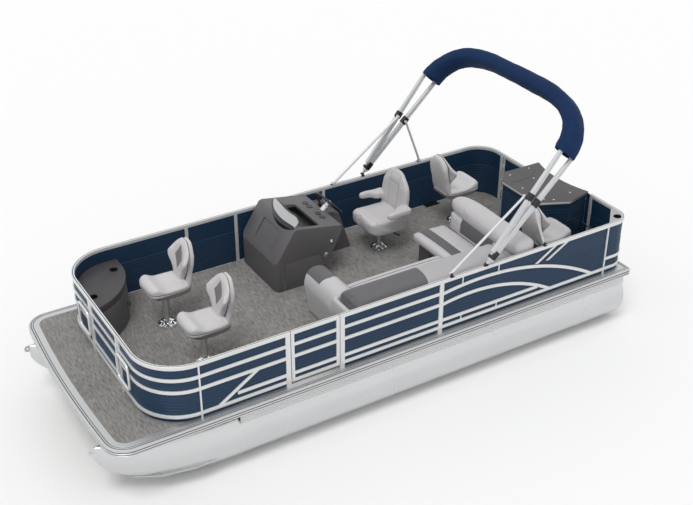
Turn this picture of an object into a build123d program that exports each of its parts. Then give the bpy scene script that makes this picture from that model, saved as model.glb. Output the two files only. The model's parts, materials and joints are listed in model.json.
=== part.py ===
from build123d import *
import os
from math import cos, hypot, radians, sin

# A pontoon boat: +X to the bow, +Y to port, +Z up, origin under the middle of the boat at its keels.
# All lengths are in millimetres. Places along the boat are measured forwards from the deck's stern edge.

# Hull and deck
deck_length = 6310.0
beam = 2590.0
deck_top = 740.0
bow_sweep = 60.0
bow_corner_radius = 230.0
stern_corner_radius = 25.0
edge_height = 75.0
edge_wall = 6.0
edge_flange = 110.0
covering_thickness = 3.0
board_thickness = 22.0
tube_radius = 317.5
tube_spacing = 1900.0
tube_stern = 20.0
keel_depth = 15.0
keel_width = 44.0
nose_length = 1380.0
nose_overhang = 20.0
eye_overhang = 40.0
eye_height = 590.0
eye_radius = 35.0
eye_bore_radius = 12.0
eye_thickness = 14.0
strake_thickness = 10.0
strake_height = 215.0
member_height = 60.0
member_width = 55.0
member_wall = 5.0
member_count = 14
riser_inset = 80.0
riser_inner_reach = 210.0
riser_wall = 8.0
seat_gap = 0.3

# Motor pod
pod_reach = 400.0
pod_length = 1700.0
pod_width = 560.0
pod_bottom = 215.0
transom_thickness = 60.0
gusset_wall = 12.0
transom_top = 800.0
transom_hole_radius = 6.5
transom_upper_spacing = 327.0
transom_lower_spacing = 251.0
transom_rows = 203.0

# Fence
fence_width = 2446.0
fence_setback = 490.0
fence_height = 640.0
bow_radius = 480.0
port_stern = 25.0
port_stern_radius = 200.0
starboard_stern = 230.0
starboard_stern_radius = 300.0
rail_face = 35.0
rail_depth = 32.0
post_depth = 22.0
trim_depth = 12.0
panel_clearance = 5.0
bottom_rise = 52.0
post_width = 50.0
seam_width = 16.0
stub_width = 12.0
bow_corner_length = 490.0
forward_bay = 918.0
gate_length = 605.0
mid_post = 2621.0
stern_seam = 355.0
starboard_seam = 600.0
gate_clearance = 8.0
gate_post = 35.0
bow_gate_centre = 50.0
bow_gate_opening = 730.0
stern_gate_outer = 795.0
stern_gate_inner = 397.0
port_stern_inner = 560.0
second_rail_share, third_rail_share, fourth_rail_share, aft_rail_share = 0.7625, 0.547, 0.236, 0.3125
upper_arc_radius = 3000.0
upper_arc_setback = 501.0
lower_arc_radius = 2050.0
lower_arc_setback = 381.0
upper_lift_share, lower_lift_share = 0.045, 0.047
hinge_pin_radius = 5.0
hinge_knuckle_radius = 8.0
hinge_leaf = 30.0
hinge_leaf_thickness = 3.0
hinge_height = 30.0
hinge_fit = 0.05
hinge_clearance = 1.0

# Places derived from the driving sizes
nose_tip = deck_length + nose_overhang
nose_start = nose_tip - nose_length
eye_place = deck_length + eye_overhang
fence_bow = deck_length - fence_setback
bow_seam = fence_bow - bow_corner_length
gate_front = bow_seam - forward_bay
gate_aft = gate_front - gate_length
bow_reach = eye_overhang + eye_radius
overall_length = pod_reach + deck_length + bow_reach
stern_x = pod_reach - overall_length / 2
half_beam = beam / 2
tube_height = tube_radius + keel_depth
fence_half = fence_width / 2
fence_top = deck_top + fence_height
fence_inside = fence_half - rail_depth
board_bottom = deck_top - covering_thickness - board_thickness
os.makedirs("parts", exist_ok=True)


def along(distance):
    """X of a place measured forwards from the deck's stern edge."""
    return stern_x + distance


def save(builder, label):
    builder.part.label = label
    export_step(builder.part, f"parts/{label}.step")


def slab(low, high, x_range, y_range, mode=Mode.ADD):
    """Upright block between two heights over a plan rectangle, joined to the part being built."""
    middle = ((x_range[0] + x_range[1]) / 2, (y_range[0] + y_range[1]) / 2, (low + high) / 2)
    with Locations(middle):
        Box(abs(x_range[1] - x_range[0]), abs(y_range[1] - y_range[0]), high - low, mode=mode)


# Pontoons: tube, nose cone, keel strip, spray strake and bow eye
# columns: place along the nose, half width, half height, rise of the section's middle over the tube's middle
nose_shares = (
    (0.06, 1.0, 1.0, 0.0),
    (0.36, 0.945, 0.972, 0.035),
    (0.65, 0.74, 0.835, 0.15),
    (0.85, 0.46, 0.622, 0.33),
    (0.97, 0.16, 0.355, 0.567),
    (1.0, 0.05, 0.22, 0.685),
)

# columns: place along the nose, distance from the tube's middle, for the edge of a strake
strake_shares = ((0.05, 0.9), (0.36, 0.985), (0.6, 0.79), (0.79, 0.34), (0.8, 0.0))


def pontoon(label, side):
    middle = side * tube_spacing / 2
    with BuildPart() as tube:
        with BuildSketch(Plane.YZ.offset(along(tube_stern))):
            with Locations((middle, tube_height)):
                Circle(tube_radius)
        extrude(amount=nose_start - tube_stern)
        fillet(tube.edges().group_by(Axis.X)[0], keel_depth)
        with BuildSketch(Plane.YZ.offset(along(nose_start))):
            with Locations((middle, tube_height)):
                Circle(tube_radius)
        for place_share, width_share, height_share, rise_share in nose_shares:
            with BuildSketch(Plane.YZ.offset(along(nose_start + place_share * nose_length))):
                with Locations((middle, tube_height + rise_share * tube_radius)):
                    Ellipse(width_share * tube_radius, height_share * tube_radius)
        loft()
        keel_range = (along(tube_stern + keel_width), along(nose_start + keel_width))
        slab(0, keel_depth + keel_width / 4, keel_range,
             (middle - keel_width / 2, middle + keel_width / 2))
        for flank in (-1, 1):
            reach = flank * tube_radius
            edge = [(along(nose_start + place_share * nose_length), middle + width_share * reach)
                    for place_share, width_share in strake_shares]
            with BuildSketch(Plane.XY.offset(strake_height)):
                with BuildLine():
                    Polyline((edge[0][0], middle), *edge, close=True)
                make_face()
            extrude(amount=strake_thickness)
        with BuildSketch(Plane.XZ.offset(-middle)):
            with Locations((along(eye_place), eye_height)):
                Circle(eye_radius)
            with Locations((along(eye_place) - eye_radius, eye_height)):
                Rectangle(2 * eye_radius, 2 * eye_radius)
        extrude(amount=eye_thickness / 2, both=True)
        with BuildSketch(Plane.XZ.offset(-middle)):
            with Locations((along(eye_place), eye_height)):
                Circle(eye_bore_radius)
        extrude(amount=eye_thickness, both=True, mode=Mode.SUBTRACT)
    save(tube, label)


pontoon("port_pontoon", 1)
pontoon("starboard_pontoon", -1)


# Risers: the hat sections that carry the deck, their outer webs reaching down the tubes' shoulders
with BuildPart() as risers:
    flange_top = board_bottom - member_height
    length_range = (along(tube_stern), along(nose_start))
    for side in (-1, 1):
        middle = side * tube_spacing / 2
        outer = side * (half_beam - riser_inset)
        inner = middle - side * riser_inner_reach
        with BuildPart(mode=Mode.PRIVATE) as hat:
            slab(tube_height + tube_radius + seat_gap, flange_top, length_range, (inner, outer))
            slab(tube_height, board_bottom, length_range, (outer - side * riser_wall, outer))
            slab(tube_height, flange_top, length_range, (inner, inner + side * riser_wall))
            with BuildSketch(Plane.YZ.offset(along(tube_stern))):
                with Locations((middle, tube_height)):
                    Circle(tube_radius)
                    Rectangle(beam, 2 * riser_wall)
            extrude(amount=deck_length, mode=Mode.SUBTRACT)
        add(hat.part.solids().sort_by(SortBy.VOLUME)[-1])
save(risers, "risers")


# Deck: edge trim with its flange, board, floor covering and the channels across the tubes
def deck_plan(height, inset):
    """Deck outline at a height, moved inwards by the inset."""
    with BuildSketch(Plane.XY.offset(height)) as plan:
        bow_x = along(deck_length)
        with BuildLine():
            Polyline((bow_x - bow_sweep, half_beam), (stern_x, half_beam),
                     (stern_x, -half_beam), (bow_x - bow_sweep, -half_beam))
            ThreePointArc((bow_x - bow_sweep, -half_beam), (bow_x, 0), (bow_x - bow_sweep, half_beam))
        make_face()
        fillet(plan.vertices().group_by(Axis.X)[-1], bow_corner_radius)
        fillet(plan.vertices().group_by(Axis.X)[0], stern_corner_radius)
        if inset:
            offset(amount=-inset, kind=Kind.INTERSECTION)
    return plan.sketch


with BuildPart() as deck_edge:
    extrude(deck_plan(deck_top - edge_height, 0), amount=edge_height)
    extrude(deck_plan(deck_top - edge_height, edge_wall), amount=edge_height - covering_thickness,
            mode=Mode.SUBTRACT)
    extrude(deck_plan(deck_top - edge_height, edge_flange), amount=edge_height, mode=Mode.SUBTRACT)
save(deck_edge, "deck_edge")

with BuildPart() as deck_board:
    extrude(deck_plan(board_bottom, edge_wall), amount=board_thickness)
save(deck_board, "deck_board")

with BuildPart() as floor_covering:
    extrude(deck_plan(deck_top - covering_thickness, edge_flange), amount=covering_thickness)
save(floor_covering, "floor_covering")

member_length = 2 * (half_beam - riser_inset - riser_wall - seat_gap)
member_span = nose_start - tube_stern - member_width
member_middle = (along((tube_stern + nose_start) / 2), board_bottom - member_height / 2)
with BuildPart() as cross_members:
    with BuildSketch(Plane.XZ.offset(-member_length / 2)):
        with Locations(member_middle):
            with GridLocations(member_span / (member_count - 1), 0, member_count, 1):
                Rectangle(member_width, member_height)
                with Locations((member_wall, 0)):
                    Rectangle(member_width, member_height - 2 * member_wall, mode=Mode.SUBTRACT)
    extrude(amount=member_length)
save(cross_members, "cross_members")


# Motor pod: a tapering box under the stern with its transom, ready for an outboard motor
with BuildPart() as motor_pod:
    pod_top = board_bottom - member_height
    with BuildSketch(Plane.XZ):
        with BuildLine():
            Polyline(
                (along(-pod_reach), pod_bottom),
                (along(-pod_reach) + pod_length * 2 / 3, pod_bottom),
                (along(-pod_reach) + pod_length, pod_top),
                (along(-pod_reach), pod_top),
                close=True,
            )
        make_face()
    extrude(amount=pod_width / 2, both=True)
    bottom_edges = motor_pod.edges().filter_by(Axis.X).group_by(Axis.Z)[0]
    chamfer(bottom_edges, pod_width / 5)
    slab(pod_top - edge_height, transom_top, (along(-pod_reach), along(-pod_reach) + transom_thickness),
         (-pod_width / 2, pod_width / 2))
    for flank in (-1, 1):
        with BuildSketch(Plane.XZ.offset(flank * (pod_width - gusset_wall) / 2)):
            with BuildLine():
                Polyline(
                    (along(-pod_reach), pod_top),
                    (along(-gusset_wall), pod_top),
                    (along(-pod_reach) + transom_thickness, transom_top),
                    (along(-pod_reach), transom_top),
                    close=True,
                )
            make_face()
        extrude(amount=gusset_wall / 2, both=True)
    transom_middle = transom_top - edge_height - transom_rows / 2
    with BuildSketch(Plane.YZ.offset(along(-pod_reach))):
        with Locations((0, transom_middle + transom_rows / 2)):
            with GridLocations(transom_upper_spacing, 0, 2, 1):
                Circle(transom_hole_radius)
        with Locations((0, transom_middle - transom_rows / 2)):
            with GridLocations(transom_lower_spacing, 0, 2, 1):
                Circle(transom_hole_radius)
    extrude(amount=transom_thickness, mode=Mode.SUBTRACT)
save(motor_pod, "motor_pod")


# Fence: frames of rails and posts with panels set behind the trim rails
def fence_loop(height, inset, stern, stern_radius):
    """Plan of all that lies inside a face of the fence, the face moved inwards by the inset."""
    length = fence_bow - stern - 2 * inset
    with BuildSketch(Plane.XY.offset(height)) as loop:
        with Locations((along(stern + inset + length / 2), 0)):
            Rectangle(length, fence_width - 2 * inset)
        fillet(loop.vertices().group_by(Axis.X)[-1], bow_radius - inset)
        fillet(loop.vertices().group_by(Axis.X)[0], stern_radius - inset)
    return loop.sketch


def band(low, outer, inner, end):
    """Plan ring of the fence between two insets from its outer face."""
    with BuildSketch(Plane.XY.offset(low)) as ring:
        add(fence_loop(low, outer, *end))
        add(fence_loop(low, inner, *end), mode=Mode.SUBTRACT)
    return ring.sketch


bottom_low = deck_top + bottom_rise
bottom_high = bottom_low + rail_face
top_low = fence_top - rail_face
panel_low = deck_top + panel_clearance
port_end = (port_stern, port_stern_radius)
starboard_end = (starboard_stern, starboard_stern_radius)


def rail_middle(rise_share):
    return deck_top + rise_share * fence_height


def keep_region(keep):
    """Cuts the part being built down to a plan rectangle."""
    x_range, y_range = keep
    with BuildPart(mode=Mode.PRIVATE) as region:
        slab(0, 2 * fence_top, x_range, y_range)
    add(region.part, mode=Mode.INTERSECT)


def frame(end, keep, trims, posts, gate_posts=()):
    """Frame of one fence section: rails all round, trim rails between them, posts down to the deck."""
    with BuildPart() as section:
        extrude(band(bottom_low, 0, post_depth, end), amount=rail_face)
        extrude(band(top_low, 0, rail_depth, end), amount=rail_face)
        for rise_share in trims:
            low = rail_middle(rise_share) - rail_face / 2
            extrude(band(low, 0, trim_depth, end), amount=rail_face)
        keep_region(keep)
        for x_range, y_range in posts:
            slab(deck_top, fence_top, x_range, y_range)
        for x_range, y_range in gate_posts:
            slab(bottom_low, fence_top, x_range, y_range)
    return section


def panel(label, end, keep, posts, low):
    """Panel behind the trim rails of one fence section, its inner layer lower than the bottom rail."""
    with BuildPart() as sheet:
        extrude(band(bottom_high, trim_depth, rail_depth, end), amount=top_low - bottom_high)
        extrude(band(low, post_depth, rail_depth, end), amount=bottom_high - low)
        keep_region(keep)
        for x_range, y_range in posts:
            slab(low, top_low, x_range, y_range, mode=Mode.SUBTRACT)
    save(sheet, label)


def side_range(side, outer, inner):
    """Y range between two insets from the fence's outer face on one side."""
    return tuple(sorted((side * (fence_half - outer), side * (fence_half - inner))))


def side_plane(side, outer, inner):
    """Upright plane facing starboard, at the port face of a layer of the fence."""
    return Plane.XZ.offset(-max(side_range(side, outer, inner)))


def trim_rail(side, rise_share, start, end_place):
    middle = rail_middle(rise_share)
    slab(middle - rail_face / 2, middle + rail_face / 2, (along(start), along(end_place)),
         side_range(side, 0, trim_depth))


def arc_rail(side, radius, peak, rise_share, start, end_place):
    """Trim rail that falls aft along an arc, from its highest point at the peak."""
    with BuildSketch(side_plane(side, 0, trim_depth)) as rail:
        with Locations((along(peak), rail_middle(rise_share) - radius)):
            Circle(radius + rail_face / 2)
            Circle(radius - rail_face / 2, mode=Mode.SUBTRACT)
        with Locations((along((start + end_place) / 2), (bottom_high + top_low) / 2)):
            Rectangle(end_place - start, top_low - bottom_high, mode=Mode.INTERSECT)
    extrude(rail.sketch, amount=trim_depth)


def slant_rail(side, top_place, top_height, foot_place, foot_height, width):
    """Slanting trim rail, its width measured along the boat."""
    with BuildSketch(side_plane(side, 0, trim_depth)) as rail:
        with BuildLine():
            Polyline(
                (along(top_place), top_height),
                (along(top_place + width), top_height),
                (along(foot_place + width), foot_height),
                (along(foot_place), foot_height),
                close=True,
            )
        make_face()
    extrude(rail.sketch, amount=trim_depth)


# Hinges of the gates: the fixed half below carries the pin on which the moving half above turns
# the shares of the fence's height at which a gate's two hinges stand
hinge_shares = (0.2, 0.7)


def hinges(axis, towards_gate, away_from_face, moving):
    """Adds one half of each hinge to the part being built."""
    leaf_side = -Vector(0, 0, 1).cross(Vector(*towards_gate)).dot(Vector(*away_from_face))
    leaf_end = 1 if moving else -1
    leaf_offset = leaf_side * (hinge_knuckle_radius + hinge_clearance - hinge_leaf_thickness / 2)
    for rise_share in hinge_shares:
        low = rail_middle(rise_share)
        base = low + hinge_height + seat_gap if moving else low
        with BuildPart(mode=Mode.PRIVATE) as half:
            with BuildSketch(Plane((*axis, base), towards_gate, (0, 0, 1))):
                Circle(hinge_knuckle_radius)
                with Locations((leaf_end * hinge_leaf / 2, leaf_offset)):
                    Rectangle(hinge_leaf, hinge_leaf_thickness)
            extrude(amount=hinge_height)
            with BuildSketch(Plane((*axis, low), towards_gate, (0, 0, 1))):
                Circle(hinge_pin_radius + hinge_fit if moving else hinge_pin_radius)
            extrude(amount=2 * hinge_height + seat_gap, mode=Mode.SUBTRACT if moving else Mode.ADD)
        add(half.part)


def post_at(place, width):
    """X range of a post centred on a place."""
    return (along(place - width / 2), along(place + width / 2))


bow_x = (along(fence_bow - rail_depth), along(fence_bow))
bow_gate_range = (bow_gate_centre - bow_gate_opening / 2, bow_gate_centre + bow_gate_opening / 2)
port_gate_range = (gate_aft + post_width / 2, gate_front - post_width / 2)
hinge_reach = hinge_knuckle_radius + hinge_clearance
bow_hinge = (along(fence_bow) + hinge_reach, bow_gate_range[1] - gate_clearance / 2)
port_hinge = (along(port_gate_range[1] - gate_clearance / 2), fence_inside - hinge_reach)
stern_hinge = (along(starboard_stern + rail_depth) + hinge_reach, -stern_gate_outer + gate_clearance / 2)
corner_trims = (second_rail_share, third_rail_share)
all_trims = (second_rail_share, third_rail_share, fourth_rail_share)

# Bow corners
port_bow_keep = ((along(bow_seam), along(fence_bow)), (bow_gate_range[1], fence_half))
port_bow_post = (bow_x, (bow_gate_range[1], bow_gate_range[1] + post_width))
port_seam_post = ((along(bow_seam), along(bow_seam + seam_width)), side_range(1, 0, post_depth))
port_bow_corner = frame(port_end, port_bow_keep, corner_trims, (port_bow_post, port_seam_post))
with port_bow_corner:
    hinges(bow_hinge, (0, -1, 0), (1, 0, 0), False)
save(port_bow_corner, "port_bow_corner")
panel("port_bow_corner_panel", port_end, port_bow_keep, (port_bow_post, port_seam_post), panel_low)

starboard_bow_keep = ((along(bow_seam), along(fence_bow)), (-fence_half, bow_gate_range[0]))
starboard_bow_post = (bow_x, (bow_gate_range[0] - post_width, bow_gate_range[0]))
starboard_seam_post = ((along(bow_seam), along(bow_seam + seam_width)), side_range(-1, 0, post_depth))
starboard_bow_posts = (starboard_bow_post, starboard_seam_post)
starboard_bow_corner = frame(port_end, starboard_bow_keep, corner_trims, starboard_bow_posts)
save(starboard_bow_corner, "starboard_bow_corner")
panel("starboard_bow_corner_panel", port_end, starboard_bow_keep, starboard_bow_posts, panel_low)

# Sides
# the forward slanting rail and the fourth rail's forward end, as shares of the way from gate to bow corner
slant_top_share, slant_foot_share, fourth_front_share = 0.314, 0.76, 0.597
slant_width = 60.0
# the two aft slanting rails: the places of top and foot along the boat
aft_slants = ((1105.0, 1350.0), (945.0, 1200.0))
aft_slant_width = 42.0
fourth_aft = 1330.0
stub_setbacks = (263.0, 729.0)
slant_top = gate_front + slant_top_share * forward_bay
slant_foot = gate_front + slant_foot_share * forward_bay
fourth_front = gate_front + fourth_front_share * forward_bay


def aft_trims(side):
    """Arcs, slants and stubs that stand on the outside of one side's aft panels."""
    upper_height = rail_middle(second_rail_share)
    upper_share, lower_share = second_rail_share + upper_lift_share, third_rail_share + lower_lift_share
    arc_rail(side, upper_arc_radius, mid_post - upper_arc_setback, upper_share, 0, mid_post)
    arc_rail(side, lower_arc_radius, mid_post - lower_arc_setback, lower_share, 0, mid_post)
    for top_place, foot_place in aft_slants:
        slant_rail(side, top_place, top_low, foot_place, upper_height - rail_face, aft_slant_width)
    for setback in stub_setbacks:
        slab(upper_height, top_low, post_at(mid_post - setback, stub_width), side_range(side, 0, trim_depth))
        slab(bottom_high, rail_middle(fourth_rail_share), post_at(mid_post - setback, stub_width),
             side_range(side, 0, trim_depth))


port_post_depths = ((gate_front, rail_depth), (gate_aft, rail_depth), (mid_post, post_depth))
port_side_posts = [(post_at(place, post_width), side_range(1, 0, depth)) for place, depth in port_post_depths]
port_stern_seam = ((along(stern_seam), along(stern_seam + seam_width)), side_range(1, 0, post_depth))
port_bow_side_keep = ((along(port_gate_range[1]), along(bow_seam)), side_range(1, 0, rail_depth))
port_bow_side = frame(port_end, port_bow_side_keep, (), port_side_posts[:1])
with port_bow_side:
    for rise_share in corner_trims:
        trim_rail(1, rise_share, port_gate_range[1], bow_seam)
    trim_rail(1, fourth_rail_share, port_gate_range[1], fourth_front)
    slant_rail(1, slant_top, rail_middle(third_rail_share), slant_foot, bottom_high, slant_width)
    hinges(port_hinge, (-1, 0, 0), (0, -1, 0), False)
save(port_bow_side, "port_bow_side")
panel("port_bow_side_panel", port_end, port_bow_side_keep, port_side_posts[:1], panel_low)

port_aft_side_keep = ((along(stern_seam), along(port_gate_range[0])), side_range(1, 0, rail_depth))
port_aft_side = frame(port_end, port_aft_side_keep, (), port_side_posts[1:] + [port_stern_seam])
with port_aft_side:
    for rise_share in corner_trims:
        trim_rail(1, rise_share, mid_post, port_gate_range[0])
    trim_rail(1, fourth_rail_share, fourth_aft, port_gate_range[0])
    aft_trims(1)
save(port_aft_side, "port_aft_side")
panel("port_aft_side_panel", port_end, port_aft_side_keep, port_side_posts[1:] + [port_stern_seam], panel_low)

starboard_side_posts = [(post_at(place, post_width), side_range(-1, 0, post_depth))
                        for place in (gate_front, gate_aft, mid_post)]
starboard_side_keep = ((along(starboard_seam), along(bow_seam)), side_range(-1, 0, rail_depth))
starboard_side = frame(starboard_end, starboard_side_keep, (), starboard_side_posts)
with starboard_side:
    for rise_share in corner_trims:
        trim_rail(-1, rise_share, mid_post, bow_seam)
    trim_rail(-1, fourth_rail_share, fourth_aft, fourth_front)
    slant_rail(-1, slant_top, rail_middle(third_rail_share), slant_foot, bottom_high, slant_width)
    aft_trims(-1)
save(starboard_side, "starboard_side")
panel("starboard_side_panel", starboard_end, starboard_side_keep, starboard_side_posts, panel_low)

# Stern corners
port_stern_x = (along(port_stern), along(port_stern + rail_depth))
port_stern_keep = ((along(port_stern), along(stern_seam)), (port_stern_inner, fence_half))
port_stern_post = (port_stern_x, (port_stern_inner, port_stern_inner + post_width))
port_stern_corner = frame(port_end, port_stern_keep, (aft_rail_share,), (port_stern_post,))
save(port_stern_corner, "port_stern_corner")
panel("port_stern_corner_panel", port_end, port_stern_keep, (port_stern_post,), panel_low)

starboard_stern_x = (along(starboard_stern), along(starboard_stern + rail_depth))
starboard_stern_keep = ((along(starboard_stern), along(starboard_seam)), (-fence_half, -stern_gate_outer))
starboard_stern_post = (starboard_stern_x, (-stern_gate_outer - post_width, -stern_gate_outer))
starboard_stern_posts = (starboard_stern_post,)
starboard_stern_corner = frame(starboard_end, starboard_stern_keep, (aft_rail_share,), starboard_stern_posts)
with starboard_stern_corner:
    hinges(stern_hinge, (0, 1, 0), (1, 0, 0), False)
save(starboard_stern_corner, "starboard_stern_corner")
panel("starboard_stern_corner_panel", starboard_end, starboard_stern_keep, starboard_stern_posts, panel_low)


# Gates: a frame of thinner posts with its own panel, clear of the fence's posts on both sides
def gate(label, end, keep, posts, trims, hinge):
    leaf = frame(end, keep, trims, (), posts)
    with leaf:
        hinges(*hinge, True)
    save(leaf, label)
    panel(f"{label}_panel", end, keep, posts, bottom_low)


bow_gate_y = (bow_gate_range[0] + gate_clearance, bow_gate_range[1] - gate_clearance)
bow_gate_posts = tuple((bow_x, (y, y + gate_post)) for y in (bow_gate_y[0], bow_gate_y[1] - gate_post))
gate("bow_gate", port_end, (bow_x, bow_gate_y), bow_gate_posts, all_trims, (bow_hinge, (0, -1, 0), (1, 0, 0)))

port_gate_x = (port_gate_range[0] + gate_clearance, port_gate_range[1] - gate_clearance)
port_gate_posts = tuple(((along(place), along(place + gate_post)), side_range(1, 0, rail_depth))
                        for place in (port_gate_x[0], port_gate_x[1] - gate_post))
gate("port_gate", port_end, ((along(port_gate_x[0]), along(port_gate_x[1])), side_range(1, 0, rail_depth)),
     port_gate_posts, all_trims, (port_hinge, (-1, 0, 0), (0, -1, 0)))

stern_gate_y = (-stern_gate_outer + gate_clearance, -stern_gate_inner)
stern_gate_posts = tuple((starboard_stern_x, (y, y + gate_post))
                         for y in (stern_gate_y[0], stern_gate_y[1] - gate_post))
gate("stern_gate", starboard_end, (starboard_stern_x, stern_gate_y), stern_gate_posts,
     (aft_rail_share,), (stern_hinge, (0, 1, 0), (1, 0, 0)))


# Stern station: a cabinet with a moulded top that overhangs it
station_aft = 60.0
station_length = 680.0
station_port = 510.0
station_starboard = 370.0
station_hollow = 80.0
station_middle = 70.0
station_height = 660.0
station_top_thickness = 24.0
station_overhang = 15.0


def station_plan(height, growth):
    aft, front = along(station_aft), along(station_aft + station_length)
    with BuildSketch(Plane.XY.offset(height)) as plan:
        with BuildLine():
            ThreePointArc((aft, -station_starboard), (aft + station_hollow, station_middle),
                          (aft, station_port))
            Polyline(
                (aft, station_port),
                (aft + station_length / 2, station_port + station_hollow),
                (front, station_port - station_hollow),
                (front, -station_starboard + 2 * station_hollow),
                (front - 2 * station_hollow, -station_starboard),
                (aft, -station_starboard),
            )
        make_face()
        fillet(plan.vertices().group_by(Axis.X)[-1], station_hollow / 2)
        if growth:
            offset(amount=growth)
    return plan.sketch


station_low = deck_top + station_height - station_top_thickness
with BuildPart() as station_cabinet:
    extrude(station_plan(deck_top, 0), amount=station_low - deck_top)
save(station_cabinet, "station_cabinet")
with BuildPart() as station_top:
    extrude(station_plan(station_low, station_overhang), amount=station_top_thickness)
    fillet(station_top.edges().group_by(Axis.Z)[-1], station_top_thickness / 4)
save(station_top, "station_top")


# Shelf in the port stern corner with a moulded cup holder
shelf_reach = 340.0
shelf_thickness = 25.0
shelf_drop = 10.0
cup_radius = 42.0
cup_wall = 3.0
cup_depth = 72.0
shelf_cup_share = 0.33
shelf_low = fence_top - shelf_drop - shelf_thickness
shelf_corner = (along(port_stern), fence_half)
cup_inset = shelf_cup_share * shelf_reach
shelf_cup = (shelf_corner[0] + cup_inset, shelf_corner[1] - cup_inset - cup_wall)
with BuildPart() as corner_shelf:
    with BuildSketch(Plane.XY.offset(shelf_low)):
        add(fence_loop(shelf_low, rail_depth + seat_gap, *port_end))
        with BuildLine(mode=Mode.PRIVATE) as edge:
            Polyline(
                shelf_corner,
                (shelf_corner[0] + shelf_reach, shelf_corner[1]),
                (shelf_corner[0], shelf_corner[1] - shelf_reach),
                close=True,
            )
        add(make_face(edge.edges(), mode=Mode.PRIVATE), mode=Mode.INTERSECT)
    extrude(amount=shelf_thickness)
    with BuildSketch(Plane.XY.offset(shelf_low + shelf_thickness)):
        with Locations(shelf_cup):
            Circle(cup_radius + cup_wall)
    extrude(amount=-cup_depth - cup_wall)
    with BuildSketch(Plane.XY.offset(shelf_low + shelf_thickness)):
        with Locations(shelf_cup):
            Circle(cup_radius)
    extrude(amount=-cup_depth, mode=Mode.SUBTRACT)
save(corner_shelf, "corner_shelf")

# Bow console: a moulded cabinet that fills the starboard bow corner, its top shell with two cup holders
console_length = 615.0
console_port = 340.0
console_height = 475.0
console_shell = 85.0
console_bulge = 420.0
# columns: share of the console's length, share of its width
bow_cup_shares = ((0.18, 0.27), (0.78, 0.72))
console_aft = fence_bow - console_length


def bow_console_plan(height):
    front, outer = along(fence_bow), -fence_half
    with BuildSketch(Plane.XY.offset(height)) as plan:
        add(fence_loop(height, rail_depth + seat_gap, *port_end))
        with BuildLine(mode=Mode.PRIVATE) as edge:
            Polyline((front, -console_port), (front, outer), (along(console_aft), outer),
                     (along(console_aft), outer + console_bulge / 2))
            ThreePointArc((along(console_aft), outer + console_bulge / 2),
                          (front - console_bulge, -console_port * 5 / 3), (front, -console_port))
        add(make_face(edge.edges(), mode=Mode.PRIVATE), mode=Mode.INTERSECT)
    return plan.sketch


shell_low = deck_top + console_height - console_shell
with BuildPart() as bow_console:
    extrude(bow_console_plan(deck_top), amount=shell_low - deck_top)
save(bow_console, "bow_console")
with BuildPart() as bow_console_top:
    extrude(bow_console_plan(shell_low), amount=console_shell)
    with BuildSketch(Plane.XY.offset(shell_low + console_shell)):
        for along_share, across_share in bow_cup_shares:
            with Locations((along(console_aft + along_share * console_length),
                            -fence_half + across_share * (fence_half - console_port))):
                Circle(cup_radius)
    extrude(amount=-cup_depth, mode=Mode.SUBTRACT)
save(bow_console_top, "bow_console_top")

# Helm console: a moulded housing with a locker in its port side and a tray sunk into its dash
helm_front = 3720.0
helm_aft = 2885.0
helm_port = 330.0
helm_starboard = 1170.0
helm_knee = 345.0
helm_brow = 715.0
helm_lip = 560.0
locker_wall = 60.0
locker_depth = 400.0
door_setback = 116.0
door_share = 0.55
door_height = 330.0
door_thickness = 18.0
door_gap = 1.0
door_rise = 8.0
door_corner = 60.0
door_pin_radius = 5.0
door_pin_length = 15.0
recess_length, recess_width, recess_depth = 250.0, 380.0, 14.0
brow_share, ridge_share = 0.285, 0.335
# the tray: shares of the helm's length back from its front, its width and the height of its floor
tray_front_share, tray_aft_share = 0.4, 0.7
tray_width = 570.0
tray_height = 590.0
tray_shift = 80.0
wheel_reach, wheel_starboard, wheel_height = 85.0, 750.0, 700.0
wheel_radius = 175.0
wheel_rim = 13.0
wheel_tilt = 43.0
hub_radius = 34.0
hub_length = 30.0
spoke_radius = 8.0
spoke_angles = (90, 210, 330)
shaft_radius = 9.0
shaft_fit = 0.05
column_radius = 26.0
column_length = 170.0
helm_length = helm_front - helm_aft
helm_middle = -(helm_port + helm_starboard) / 2
door_front = helm_front - door_setback
door_length = door_share * helm_length

wheel_axis = Vector(-cos(radians(wheel_tilt)), 0, sin(radians(wheel_tilt)))
wheel_point = Vector(along(helm_aft - wheel_reach), -wheel_starboard, deck_top + wheel_height)
wheel_plane = Plane(wheel_point, x_dir=(0, 1, 0), z_dir=wheel_axis)
door_axis = (along(door_front) - door_thickness / 2, -helm_port - door_thickness / 2)
door_low = deck_top + door_rise


def door_plan(growth):
    """Door outline seen from the port side, the hinge at its forward edge."""
    length, height = door_length + 2 * growth, door_height + 2 * growth
    middle = (along(door_front - door_length / 2), door_low + door_height / 2)
    with BuildSketch(Plane.XZ.offset(helm_port)) as plan:
        with Locations(middle):
            Rectangle(length, height)
        fillet(plan.vertices().sort_by(Axis.Y)[-2:].sort_by(Axis.X)[0], door_corner)
    return plan.sketch


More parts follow.
